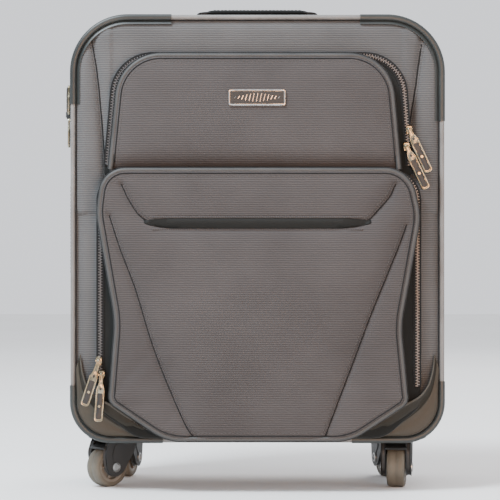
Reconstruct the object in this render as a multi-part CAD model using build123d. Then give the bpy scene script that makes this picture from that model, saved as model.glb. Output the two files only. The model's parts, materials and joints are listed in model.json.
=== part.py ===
from build123d import *
import math
import os

# Softside upright cabin suitcase on four swivelling casters.
# Millimetres. Origin on the floor under the middle of the case, +Z up,
# -Y towards the pocketed front, +X towards the hinged side of the lid.

# ---- driving dimensions -------------------------------------------------
case_width = 400.0          # outside of the fabric, side to side
case_bottom = 54.0          # height of the case's underside over the floor
case_top = 512.0            # height of the case's top
top_radius = 60.0           # outer corner radius, upper corners
bottom_radius = 42.0        # outer corner radius, lower corners
front_y = -72.0             # front face of the lid
split_y = -37.0             # plane where lid and body meet
back_y = 98.0               # back face of the body
wall = 3.0                  # fabric laminated on foam
piping_radius = 2.6
zip_half_gap = 3.5          # from the split plane to each shell's edge
play = 0.3                  # clearance between moving neighbours

upper_pocket_depth = 21.0
lower_pocket_depth = 30.0
gusset_share = 0.45         # part of a pocket's depth taken by its wide base

caster_x = 155.0
caster_front_y = -15.0
caster_rear_y = 65.0
wheel_radius = 22.0
wheel_width = 20.0
caster_trail = 14.0
fork_leg = 5.0              # thickness of each fork leg
kingpin_radius = 3.0
fork_top = 51.0

trolley_x = 70.0            # each tube's distance from the middle
trolley_y = 78.0
tube_foot_z = 66.0
cup_floor_z = 478.0
cup_front_y = 50.0
cup_back_y = 91.5
cup_half_width = 96.0

handle_half_length = 70.0
handle_travel = 16.0
cap_flange = 3.5            # thickness of a handle end cap's flange
top_handle_y = 5.0
side_handle_y = 28.0
side_handle_z = 283.0

lock_z = 421.0
lock_proud = 11.0
dial_radius = 7.0
dial_width = 5.6

pull_thickness = 2.2
pull_width = 9.6
bail_height = 5.7           # hinge bar's height over the zip chain

os.makedirs("parts", exist_ok=True)


def save(shape, node):
    export_step(shape, "parts/" + node + ".step")


# ---- shared shapes ------------------------------------------------------
def standing(points, radii, y_front, y_back):
    """Closed outline in X and Z with rounded corners, filled from y_front to y_back."""
    corners = [(x, y_back, z) for x, z in points]
    edge = FilletPolyline(*corners, radius=radii, close=True)
    return extrude(make_face(edge), amount=y_back - y_front, dir=(0, -1, 0))


def case_corners(inset):
    side = case_width / 2 - inset
    low = case_bottom + inset
    high = case_top - inset
    points = [(-side, low), (side, low), (side, high), (-side, high)]
    radii = [bottom_radius - inset] * 2 + [top_radius - inset] * 2
    return points, radii


def case_slab(inset, y_front, y_back):
    """The case's rounded outline, inset from the outside, as a solid slab."""
    points, radii = case_corners(inset)
    return standing(points, radii, y_front, y_back)


def case_ring(outer_inset, inner_inset, y_front, y_back):
    return case_slab(outer_inset, y_front, y_back) - case_slab(inner_inset, y_front, y_back)


def block(x0, x1, y0, y1, z0, z1):
    """Box between two opposite corners."""
    centre = Location(((x0 + x1) / 2, (y0 + y1) / 2, (z0 + z1) / 2))
    return centre * Box(x1 - x0, y1 - y0, z1 - z0)


def rounded_post(x0, x1, y0, y1, z0, z1, radius):
    """Box whose four upright edges are rounded."""
    solid = block(x0, x1, y0, y1, z0, z1)
    return fillet(solid.edges().filter_by(Axis.Z), radius)


def cord_around(points, radii, y, radius):
    """Round cord along a closed outline that stands at depth y."""
    corners = [(x, y, z) for x, z in points]
    path = FilletPolyline(*corners, radius=radii, close=True)
    start = path @ 0
    section = Plane(origin=start, z_dir=path % 0) * Circle(radius)
    return sweep(section, path=path)


def group(*solids):
    return Compound(children=[part for item in solids for part in item.solids()])


# ---- zips around the main opening --------------------------------------
def main_zip(y_front, y_back):
    """One half of the main zip: left side, top and bottom, not the hinged side."""
    band = case_ring(0.6, 2.6, y_front, y_back)
    hinge_side = block(case_width / 2 - 12, 210, -50, -20, case_bottom + 60, case_top - 75)
    return band - hinge_side


# ---- handles ------------------------------------------------------------
def flat_handle(rise, thickness, grip_width):
    """Low strap handle along X with two legs down through its end caps.
    Z is 0 at the wall's outer face, rise is the underside of the grip."""
    half = handle_half_length
    top = rise + thickness
    profile = [(-half, -28), (-half, top), (half, top), (half, -28),
               (half - 4, -28), (half - 4, rise), (-half + 4, rise), (-half + 4, -28)]
    radii = [0, 7, 7, 0, 0, 3, 3, 0]
    strap = standing(profile, radii, -grip_width / 2, grip_width / 2)
    legs_cut = block(-half - 1, half + 1, 6, grip_width, -40, cap_flange + 0.7)
    strap -= legs_cut
    strap -= mirror(legs_cut, Plane.XZ)
    stops = block(-half - 2, -half + 6, -6, 6, -31, -28) + block(half - 6, half + 2, -6, 6, -31, -28)
    return strap + stops


def handle_cap_housing(end):
    """Moulded end cap that a handle's leg slides through, at the end -1 or +1."""
    x = end * (handle_half_length - 2)
    outer = block(x - 8, x + 8, -9, 9, -36, 0)
    flange = rounded_post(x - 13, x + 13, -15, 15, 0, cap_flange, 5)
    inner = block(x - 5, x + 5, -7, 7, -34, -28 + handle_travel + play)
    slot = block(x - 2 - play, x + 2 + play, -6 - play, 6 + play, -34, 4)
    return outer + flange - inner - slot


def handle_cap_hole(end):
    x = end * (handle_half_length - 2)
    return block(x - 8, x + 8, -9, 9, -36, 2)


top_place = Location((0, top_handle_y, case_top))
side_place = Location((-case_width / 2, side_handle_y, side_handle_z), (0, -90, 0))

top_handle = top_place * flat_handle(9.0, 6.0, 26)
side_handle = side_place * flat_handle(5.5, 4.5, 22)
cap_housings = [place * handle_cap_housing(end) for place in (top_place, side_place) for end in (-1, 1)]
cap_holes = [place * handle_cap_hole(end) for place in (top_place, side_place) for end in (-1, 1)]

# ---- trolley cup --------------------------------------------------------
cup_outer = block(-cup_half_width, cup_half_width, cup_front_y, cup_back_y, cup_floor_z, case_top)
cup_flange = rounded_post(-cup_half_width - 4, cup_half_width + 4, cup_front_y - 4, cup_back_y + 2.5,
                          case_top, case_top + 2.5, 4)
cup_inner = rounded_post(-cup_half_width + 2.5, cup_half_width - 2.5, cup_front_y + 2.5,
                         cup_back_y - 2.5, cup_floor_z + 2.5, case_top + 5, 5)
trolley_cup = cup_outer + cup_flange - cup_inner


def tube_pair(width, depth, z0, z1, thickness):
    """Two rectangular tubes, one each side of the middle."""
    tubes = []
    for side in (-1, 1):
        x = side * trolley_x
        outer = rounded_post(x - width / 2, x + width / 2, trolley_y - depth / 2,
                             trolley_y + depth / 2, z0, z1, 2.0)
        if thickness:
            inner = block(x - width / 2 + thickness, x + width / 2 - thickness,
                          trolley_y - depth / 2 + thickness, trolley_y + depth / 2 - thickness,
                          z0 - 1, z1 + 1)
            outer -= inner
        tubes.append(outer)
    return tubes


trolley_cup -= group(*tube_pair(19.2, 11.2, cup_floor_z - 1, cup_floor_z + 3, 0))
outer_tubes = group(*tube_pair(22.0, 14.0, tube_foot_z, cup_floor_z, 1.4))
middle_tubes = group(*tube_pair(18.6, 10.6, tube_foot_z + 4, cup_floor_z + 5, 1.4))
inner_tubes = group(*tube_pair(15.2, 7.2, tube_foot_z + 8, cup_floor_z + 10, 1.2))

# ---- trolley grip and its button ---------------------------------------
grip_bottom = cup_floor_z + 10
grip_top = case_top + 1.0
grip_half = 82.0
grip_bar = block(-grip_half, grip_half, trolley_y - 9, trolley_y + 9, grip_bottom, grip_top)
grip_bar = fillet(grip_bar.edges().filter_by(Axis.Z), 7)
grip_bar = fillet(grip_bar.faces().sort_by(Axis.Z)[-1].edges(), 4)
button_well = rounded_post(-17.4, 17.4, trolley_y - 5.4, trolley_y + 5.4, grip_top - 8, grip_top + 1, 5)
rod_gallery = block(-trolley_x - 3, trolley_x + 3, trolley_y - 2.4, trolley_y + 2.4,
                    grip_bottom + 3, grip_bottom + 10)
rod_ways = [block(s * trolley_x - 2.4, s * trolley_x + 2.4, trolley_y - 2.2, trolley_y + 2.2,
                  grip_bottom - 1, grip_bottom + 4) for s in (-1, 1)]
button_way = block(-8.4, 8.4, trolley_y - 2.4, trolley_y + 2.4, grip_bottom + 9, grip_top - 7)
trolley_grip = grip_bar - button_well - rod_gallery - button_way - rod_ways[0] - rod_ways[1]

button_cap = rounded_post(-17, 17, trolley_y - 5, trolley_y + 5, grip_top - 4, grip_top + 1.2, 4.6)
button_stem = block(-8, 8, trolley_y - 2, trolley_y + 2, grip_bottom + 9.4, grip_top - 4)
cross_bar = block(-trolley_x - 1.8, trolley_x + 1.8, trolley_y - 2, trolley_y + 2,
                  grip_bottom + 6.8, grip_bottom + 9.4)
push_rods = [block(s * trolley_x - 1.8, s * trolley_x + 1.8, trolley_y - 1.6, trolley_y + 1.6,
                   tube_foot_z + 14, grip_bottom + 6.8) for s in (-1, 1)]
trolley_button = button_cap + button_stem + cross_bar + push_rods[0] + push_rods[1]

# ---- body: fabric shell, boards and frame ------------------------------
body_front = split_y + zip_half_gap
rear_cord = cord_around(*case_corners(1.1), back_y, piping_radius)
lock_y = split_y + 18.5
lock_hole = block(-case_width / 2 - 0.5, -case_width / 2 + wall + 0.5, lock_y - 8.2, lock_y + 8.2,
                  lock_z - 6, lock_z + 13)
cutters = group(cup_outer, *cap_holes)

body_shell = case_ring(0, wall, body_front, back_y) - cutters - lock_hole - rear_cord
back_panel = case_slab(wall, back_y - wall, back_y)
board_points, board_radii = case_corners(wall + 0.2)
board_points = [(x, min(z, cup_floor_z - 4)) for x, z in board_points]
back_board = standing(board_points, board_radii, back_y - wall - 3, back_y - wall)
frame_hoop = case_ring(wall, wall + 2, body_front + 2, body_front + 8) - cutters
tray_side = case_width / 2 - wall - 42
base_tray = block(-tray_side, tray_side, body_front + 10, back_y - wall - 3, case_bottom + wall, case_bottom + wall + 2)
for side in (-1, 1):
    tube_socket = block(side * trolley_x - 15, side * trolley_x + 15, trolley_y - 11, back_y - wall - 3,
                        case_bottom + wall + 2, tube_foot_z + 18)
    tube_space = block(side * trolley_x - 11, side * trolley_x + 11, trolley_y - 7, trolley_y + 7,
                       tube_foot_z, tube_foot_z + 20)
    base_tray += tube_socket - tube_space

lining_back = 63.0
body_lining = case_slab(wall + 2.5, body_front + 10, lining_back)
body_lining -= case_slab(wall + 3.5, body_front + 9, lining_back + 1)
body_lining -= cutters
lining_back_panel = case_slab(wall + 3.5, lining_back - 1, lining_back) - cutters

packing_straps = []
for strap_z in (190, 350):
    webbing = block(-185, 185, 60.2, 61.7, strap_z - 12, strap_z + 12)
    buckle = rounded_post(-24, 24, 56.5, 60.2, strap_z - 14, strap_z + 14, 1.6)
    packing_straps += [webbing, buckle]

# ---- lid: fabric shell, lining and pockets ------------------------------
lid_back = split_y - zip_half_gap
front_cord = cord_around(*case_corners(1.1), front_y, piping_radius)
lid_shell = case_slab(0, front_y, lid_back) - case_slab(wall, front_y + wall, lid_back + 1) - front_cord
lid_lining = case_slab(wall + 0.2, lid_back - 5, lid_back - 4)

upper_front = [(-158, 338), (152, 338), (140, 468), (-145, 468)]
upper_base = [(-166, 338), (168, 338), (158, 472), (-154, 472)]
upper_radii = [4, 4, 46, 46]
lower_front = [(-96, 58.5), (98, 58.5), (158, 98), (150, 180), (171, 296), (160, 345),
               (-163, 345), (-169, 300), (-149, 185), (-156, 99)]
lower_front_radii = [60, 60, 8, 120, 60, 34, 34, 60, 120, 8]
lower_base = [(-130, 58), (136, 58), (175, 92), (175, 347), (-172, 347), (-172, 90)]
lower_base_radii = [30, 30, 12, 34, 34, 12]

upper_ledge = front_y - upper_pocket_depth * gusset_share
lower_ledge = front_y - lower_pocket_depth * gusset_share
lower_pocket = standing(lower_base, lower_base_radii, lower_ledge, front_y)
lower_pocket += standing(lower_front, lower_front_radii, front_y - lower_pocket_depth, lower_ledge)
lower_room = standing(lower_base, lower_base_radii, front_y - lower_pocket_depth - 5, front_y)
upper_pocket = standing(upper_base, upper_radii, upper_ledge, front_y)
upper_pocket += standing(upper_front, upper_radii, front_y - upper_pocket_depth, upper_ledge)
upper_pocket -= lower_room

lower_cord = cord_around(lower_front, lower_front_radii, front_y - lower_pocket_depth + 4, 2.4)
upper_cord = cord_around(upper_front, upper_radii, front_y - upper_pocket_depth + 4, 2.4) - lower_room
lower_pocket -= lower_cord
upper_pocket -= upper_cord


def ledge_chain(points, radii, face, inner_points, inner_radii, low_z):
    """Zip chain lying on a pocket's ledge, between its base and its front panel."""
    band = standing(points, radii, face - 1.6, face)
    band -= standing(inner_points, inner_radii, face - 3, face + 1)
    return band - block(-210, 210, face - 4, face + 2, 0, low_z)


def shrink(points, side, top):
    middle = sum(x for x, z in points) / len(points)
    high = max(z for x, z in points)
    return [(x - math.copysign(side, x - middle), z - top if z > high - 10 else z) for x, z in points]


upper_chain = ledge_chain(shrink(upper_base, 1.2, 1.2), upper_radii, upper_ledge,
                          shrink(upper_base, 5.8, 3.4), upper_radii, 350)
upper_chain -= standing(upper_front, upper_radii, -120, -60)
lower_chain = ledge_chain(shrink(lower_base, 1.2, 0.6), lower_base_radii, lower_ledge,
                          shrink(lower_base, 6.4, 1.8), lower_base_radii, 112)
lower_chain -= standing(lower_front, lower_front_radii, -120, -60)
chain_cords = group(upper_cord, lower_cord)

badge_x = -0.5
badge_z = 422.5
badge_back = front_y - upper_pocket_depth
badge_plate = block(badge_x - 30.5, badge_x + 30.5, badge_back - 2, badge_back, badge_z - 8.6, badge_z + 8.6)
badge_recess = block(badge_x - 28.7, badge_x + 28.7, badge_back - 3, badge_back - 1.2,
                     badge_z - 6.8, badge_z + 6.8)
badge = fillet(badge_plate.edges().filter_by(Axis.Y), 1.5) - badge_recess


# ---- corner guards ------------------------------------------------------
def corner_guard(y_front, y_back, x0, x1, z0, z1, skin):
    """Thin moulded cap over one corner of the case."""
    shell = case_slab(-skin, y_front, y_back) - case_slab(0, y_front - 1, y_back + 1)
    return shell & block(x0, x1, y_front - 5, y_back + 5, z0, z1)


guard_reach = 102.0
guard_boxes = [(-210, -200 + guard_reach, 430, 520), (200 - guard_reach, 210, 400, 520),
               (-210, -200 + guard_reach, 50, 54 + guard_reach * 0.62),
               (200 - guard_reach, 210, 50, 54 + guard_reach * 0.62)]
front_guards = [corner_guard(front_y + 4, front_y + 12, x0, x1, z0, z1, 1.4)
                for x0, x1, z0, z1 in guard_boxes]
rear_guards = [corner_guard(back_y - 40, back_y - 4, x0, x1, 50, 118, 1.4)
               for x0, x1 in ((-210, -128), (128, 210))]

# ---- casters ------------------------------------------------------------
caster_places = {"front_left": (-caster_x, caster_front_y, 222), "front_right": (caster_x, caster_front_y, 262),
                 "rear_left": (-caster_x, caster_rear_y, 75), "rear_right": (caster_x, caster_rear_y, 105)}


def caster_fork():
    """Fork trailing along +X from its kingpin, with the wheel's axle."""
    crown = Location((0, 0, fork_top - 2.6)) * Cylinder(15, 5.2)
    crown -= Location((0, 0, fork_top - 3)) * Cylinder(kingpin_radius + 0.05, 8)
    leg_points = [(-9, fork_top), (-9, fork_top - 5), (4, 15.5), (20, 15.5), (23, 24), (17, fork_top)]
    leg_inner = wheel_width / 2 + 0.6
    leg_outer = leg_inner + fork_leg
    leg = standing(leg_points, [0, 4, 6, 6, 8, 0], leg_inner, leg_outer)
    reach_block = block(-9, 17, -leg_outer, leg_outer, fork_top - 5, fork_top)
    reach_block -= Location((0, 0, fork_top - 3)) * Cylinder(kingpin_radius + 0.05, 8)
    fork = crown + reach_block + leg + mirror(leg, Plane.XZ)
    fork -= block(-20, 40, -leg_inner, leg_inner, 0, wheel_radius * 2 + 1.4)
    axle_turn = Location((caster_trail, 0, wheel_radius), (90, 0, 0))
    fork -= axle_turn * Cylinder(2.5, 60)
    axle = axle_turn * Cylinder(2.5, 2 * leg_outer + 1.2)
    return fork, axle


def caster_wheel():
    turn = Location((caster_trail, 0, wheel_radius), (90, 0, 0))
    core = Cylinder(wheel_radius - 5, wheel_width - 1) - Cylinder(2.56, wheel_width + 2)
    groove = Cylinder(wheel_radius - 7.5, 3) - Cylinder(6, 4)
    for side in (-1, 1):
        core -= Location((0, 0, side * (wheel_width / 2 - 1.5))) * groove
    tyre = Cylinder(wheel_radius, wheel_width) - Cylinder(wheel_radius - 5, wheel_width + 2)
    tyre = fillet(tyre.edges().filter_by(GeomType.CIRCLE).sort_by(SortBy.RADIUS)[-2:], 3)
    return turn * core, turn * tyre


def caster_housing(x, y):
    """Moulded foot screwed under the case, with the kingpin riveted in it."""
    plate = rounded_post(x - 37, x + 37, y - 20, y + 29, fork_top + 0.5, case_bottom, 12)
    kingpin = Location((x, y, fork_top - 2.2)) * Cylinder(kingpin_radius, 5.4)
    return [plate, kingpin]


housings = []
for place_name, (x, y, heading) in caster_places.items():
    spot = Location((x, y, 0), (0, 0, heading))
    fork, axle = caster_fork()
    core, tyre = caster_wheel()
    save(group(spot * fork, spot * axle), "caster_fork_" + place_name)
    save(spot * core, "caster_wheel_" + place_name)
    save(spot * tyre, "caster_tyre_" + place_name)
    housings += caster_housing(x, y)

# ---- combination lock ---------------------------------------------------
lock_face = -case_width / 2 - lock_proud
dial_x = lock_face + dial_radius
lock_case = block(lock_face + 1.6, -case_width / 2, lock_y - 13, lock_y + 13, lock_z - 19, lock_z + 19)
lock_case = fillet(lock_case.edges().filter_by(Axis.Y).sort_by(Axis.X)[:2], 4)
lock_window = block(lock_face - 1, -case_width / 2 + 1, lock_y - 8.2, lock_y + 8.2, lock_z - 6, lock_z + 13)
release_well = block(lock_face, lock_face + 8, lock_y - 5.3, lock_y + 5.3, lock_z - 15.3, lock_z - 8.7)
lock_case = lock_case - lock_window - release_well
dial_axle = Location((dial_x, lock_y, lock_z + 3.5)) * Cylinder(1.5, 19)
lock_release = block(lock_face, lock_face + 5.6, lock_y - 5, lock_y + 5, lock_z - 15, lock_z - 9)
for number in range(3):
    dial = Location((dial_x, lock_y, lock_z - 2.6 + number * 6.1)) * Cylinder(dial_radius, dial_width)
    dial -= Location((dial_x, lock_y, lock_z)) * Cylinder(1.56, 60)
    save(dial, "lock_dial_" + str(number + 1))


# ---- zip sliders and pulls ----------------------------------------------
def slider_and_pull(tilt, length, neck):
    """Slider on a chain that runs along Z, its face towards -Y, with a cocked bail
    bar and a pull that hangs from the bar at the given tilt towards +X."""
    body = block(-3.9, 3.9, -3, 0, -5, 5)
    body = fillet(body.edges().filter_by(Axis.Y), 1.8)
    ears = block(-3.6, -2.4, -bail_height - 1.2, -3, -1.6, 1.6)
    ears += block(2.4, 3.6, -bail_height - 1.2, -3, -1.6, 1.6)
    bar = Location((0, -bail_height, 0), (0, 90, 0)) * Cylinder(0.9, 6)
    cocked = Location((0, 0, 0), (0, -tilt, 0))
    slider = body + cocked * (ears + bar)
    eye = Location((0, -bail_height, 0), (0, 90, 0)) * Cylinder(2.1, 4)
    plate_half = pull_width / 2
    outline = [(-2, 0), (2, 0), (2, -neck + 2), (plate_half, -neck - 6), (plate_half, -length),
               (-plate_half, -length), (-plate_half, -neck - 6), (-2, -neck + 2)]
    radii = [0, 0, 3, 5, 3, 3, 5, 3]
    half_thick = pull_thickness / 2
    plate = standing(outline, radii, -bail_height - half_thick, -bail_height + half_thick)
    window = standing([(-2.6, -neck - 8), (2.6, -neck - 8), (2.6, -length + 3), (-2.6, -length + 3)],
                      [2, 2, 2, 2], -bail_height - half_thick - 1, -bail_height - half_thick + 0.6)
    pull = plate + eye - window
    pull -= Location((0, -bail_height, 0), (0, 90, 0)) * Cylinder(1.15, 10)
    return slider, cocked * pull


main_turn = (0, 0, -90)
chain_front = {"upper": upper_ledge - 1.6 - play, "lower": lower_ledge - 1.6 - play}
main_x = -case_width / 2 - play
zips = {
    "upper_pocket_1": ((162.5, chain_front["upper"], 388.5), (0, 0, 0), 25, 50, 8),
    "upper_pocket_2": ((159.7, chain_front["upper"], 370.5), (0, 0, 0), 25, 50, 8),
    "lower_pocket_1": ((-169.6, chain_front["lower"], 141.0), (0, 0, 0), -18, 50, 14),
    "lower_pocket_2": ((-166.6, chain_front["lower"], 126.5), (0, 0, 0), -4, 50, 12),
    "main_1": ((main_x, split_y, lock_z + 17), main_turn, 0, 30, 8),
    "main_2": ((main_x, split_y, lock_z - 19), main_turn, 0, 30, 8),
}
for zip_name, (spot, turn, tilt, length, neck) in zips.items():
    slider, pull = slider_and_pull(tilt, length, neck)
    place = Location(spot, turn)
    save(place * slider, zip_name + "_slider")
    save(place * pull, zip_name + "_pull")

# ---- hinge fabric and side feet -----------------------------------------
hinge_fabric = block(case_width / 2 - 2.6, case_width / 2 - 0.6, split_y + 0.15, body_front,
                     case_bottom + 60, case_top - 75)
side_feet = []
for foot_z in (140, 430):
    stud = Location((case_width / 2 + lock_proud / 2, 66, foot_z), (0, 90, 0)) * Cylinder(11, lock_proud)
    side_feet.append(fillet(stud.faces().sort_by(Axis.X)[-1].edges(), 4))

# ---- written sub-parts --------------------------------------------------
save(body_shell, "body_shell")
save(back_panel - rear_cord, "back_panel")
save(back_board, "back_board")
save(frame_hoop, "frame_hoop")
save(base_tray, "base_tray")
save(body_lining, "body_lining")
save(lining_back_panel, "lining_back_panel")
save(group(*packing_straps), "packing_straps")
save(rear_cord, "rear_piping")
save(group(main_zip(split_y + 0.15, body_front), hinge_fabric), "main_zip_body_side")
save(group(*side_feet), "side_feet")
save(group(*housings, *rear_guards), "caster_housings")
save(trolley_cup, "trolley_cup")
save(outer_tubes, "trolley_outer_tubes")
save(group(*cap_housings), "handle_end_caps")
save(group(lock_case, dial_axle), "lock_housing")
save(lid_shell, "lid_shell")
save(lid_lining, "lid_lining")
save(front_cord, "front_piping")
save(group(*front_guards), "front_corner_guards")
save(main_zip(lid_back, split_y - 0.15), "main_zip_lid_side")
save(upper_pocket, "upper_pocket")
save(lower_pocket, "lower_pocket")
save(group(upper_chain, lower_chain), "pocket_zips")
save(chain_cords, "pocket_piping")
save(badge, "badge")
save(middle_tubes, "trolley_middle_tubes")
save(inner_tubes, "trolley_inner_tubes")
save(trolley_grip, "trolley_grip")
save(trolley_button, "trolley_button")
save(top_handle, "top_handle")
save(side_handle, "side_handle")
save(lock_release, "lock_release")
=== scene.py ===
import json
import math
import random

import bmesh
import bpy
from mathutils import Matrix, Vector, kdtree
from mathutils.bvhtree import BVHTree
from mathutils.geometry import delaunay_2d_cdt


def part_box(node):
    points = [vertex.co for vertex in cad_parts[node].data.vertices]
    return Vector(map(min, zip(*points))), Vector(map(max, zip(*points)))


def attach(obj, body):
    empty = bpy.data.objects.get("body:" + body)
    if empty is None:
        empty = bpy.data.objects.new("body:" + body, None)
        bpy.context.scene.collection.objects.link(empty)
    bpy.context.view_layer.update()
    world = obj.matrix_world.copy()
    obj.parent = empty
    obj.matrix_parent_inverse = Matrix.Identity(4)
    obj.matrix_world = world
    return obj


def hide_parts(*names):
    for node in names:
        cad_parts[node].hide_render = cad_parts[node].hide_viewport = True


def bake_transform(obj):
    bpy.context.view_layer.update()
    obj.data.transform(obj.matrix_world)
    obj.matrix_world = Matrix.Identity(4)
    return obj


# Softside upright suitcase. Metres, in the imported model's frame: origin on the floor
# under the case, +Z up, -Y towards the pockets, +X towards the lid's hinge.
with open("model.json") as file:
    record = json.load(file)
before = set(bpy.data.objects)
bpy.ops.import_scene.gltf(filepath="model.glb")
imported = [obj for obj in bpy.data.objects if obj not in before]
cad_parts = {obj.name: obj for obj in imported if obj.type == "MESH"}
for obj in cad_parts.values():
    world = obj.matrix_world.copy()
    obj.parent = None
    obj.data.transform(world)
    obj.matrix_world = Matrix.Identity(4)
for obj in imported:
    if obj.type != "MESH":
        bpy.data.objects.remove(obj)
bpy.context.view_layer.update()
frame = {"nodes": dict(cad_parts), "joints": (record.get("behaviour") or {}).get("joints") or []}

MM = 0.001
shell_low, shell_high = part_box("body_shell")
lid_low, lid_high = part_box("lid_shell")
case_side = shell_high.x
case_bottom = shell_low.z
case_top = shell_high.z
case_back = shell_high.y
case_front = lid_low.y
split_y = (shell_low.y + lid_high.y) / 2
TOP_RADIUS = 60 * MM
BOTTOM_RADIUS = 42 * MM


# ---- outlines -----------------------------------------------------------
def arc_corner(before, corner, after, radius, step):
    """Points of the arc that rounds a corner between two straight runs."""
    to_before = (before - corner).normalized()
    to_after = (after - corner).normalized()
    half = to_before.angle(to_after) / 2
    if radius < 1e-6 or half > math.pi / 2 - 1e-3:
        return [corner.copy()]
    reach = min(radius / math.tan(half), 0.49 * min((before - corner).length, (after - corner).length))
    radius = reach * math.tan(half)
    centre = corner + (to_before + to_after).normalized() * (radius / math.sin(half))
    start = corner + to_before * reach - centre
    end = corner + to_after * reach - centre
    turn = start.angle_signed(end)
    count = max(2, round(abs(turn) * radius / step))
    points = []
    for i in range(count + 1):
        angle = -turn * i / count
        cos, sin = math.cos(angle), math.sin(angle)
        points.append(centre + Vector((start.x * cos - start.y * sin, start.x * sin + start.y * cos)))
    return points


def outline(corners, radii, step=4 * MM):
    """Closed outline in X and Z: straight runs joined by arcs, with a point about every step."""
    corners = [Vector(c) for c in corners]
    key = []
    for i, corner in enumerate(corners):
        key += arc_corner(corners[i - 1], corner, corners[(i + 1) % len(corners)], radii[i], step)
    return subdivide_run(key + [key[0]], step)[:-1]


def subdivide_run(points, step):
    """The same run of points, with more where two neighbours are further apart than a step."""
    out = [points[0]]
    for a, b in zip(points, points[1:]):
        count = max(1, round((b - a).length / step))
        out += [a.lerp(b, i / count) for i in range(1, count + 1)]
    return out


def distances(run):
    """How far along a run each of its points is."""
    out = [0.0]
    for a, b in zip(run, run[1:]):
        out.append(out[-1] + (b - a).length)
    return out


def resample(points, count, closed=True):
    """count points at equal distances along a run."""
    run = list(points) + ([points[0]] if closed else [])
    lengths = distances(run)
    total = lengths[-1]
    steps = count if closed else count - 1
    out, j = [], 0
    for i in range(count):
        want = total * i / steps
        while j < len(run) - 2 and lengths[j + 1] < want:
            j += 1
        span = lengths[j + 1] - lengths[j] or 1.0
        out.append(run[j].lerp(run[j + 1], min(1.0, (want - lengths[j]) / span)))
    return out


def smooth_curve(points, step=3 * MM):
    """Catmull-Rom curve through given points, as a run of close points."""
    pts = [Vector(p) for p in points]
    pts = [pts[0] * 2 - pts[1]] + pts + [pts[-1] * 2 - pts[-2]]
    out = []
    for a, b, c, d in zip(pts, pts[1:], pts[2:], pts[3:]):
        count = max(1, round((c - b).length / step))
        for i in range(count):
            t = i / count
            out.append(0.5 * ((2 * b) + (c - a) * t + (2 * a - 5 * b + 4 * c - d) * t * t
                              + (3 * b - a - 3 * c + d) * t ** 3))
    return out + [pts[-2]]


def rectangle(x_low, z_low, x_high, z_high):
    """Corners of an upright rectangle, counter-clockwise from its lower left."""
    return [(x_low, z_low), (x_high, z_low), (x_high, z_high), (x_low, z_high)]


def inside(point, loop):
    """True if the point is inside the closed loop of points."""
    x, z = point
    hit = False
    for a, b in zip(loop, loop[1:] + loop[:1]):
        if (a[1] > z) != (b[1] > z) and x < (b[0] - a[0]) * (z - a[1]) / (b[1] - a[1]) + a[0]:
            hit = not hit
    return hit


def distance_to_run(point, run):
    """Distance from a point to the nearest stretch of a run of points."""
    best = 1e9
    for a, b in zip(run, run[1:]):
        along = b - a
        t = max(0.0, min(1.0, (point - a).dot(along) / max(along.length_squared, 1e-12)))
        best = min(best, (point - a - along * t).length)
    return best


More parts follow.
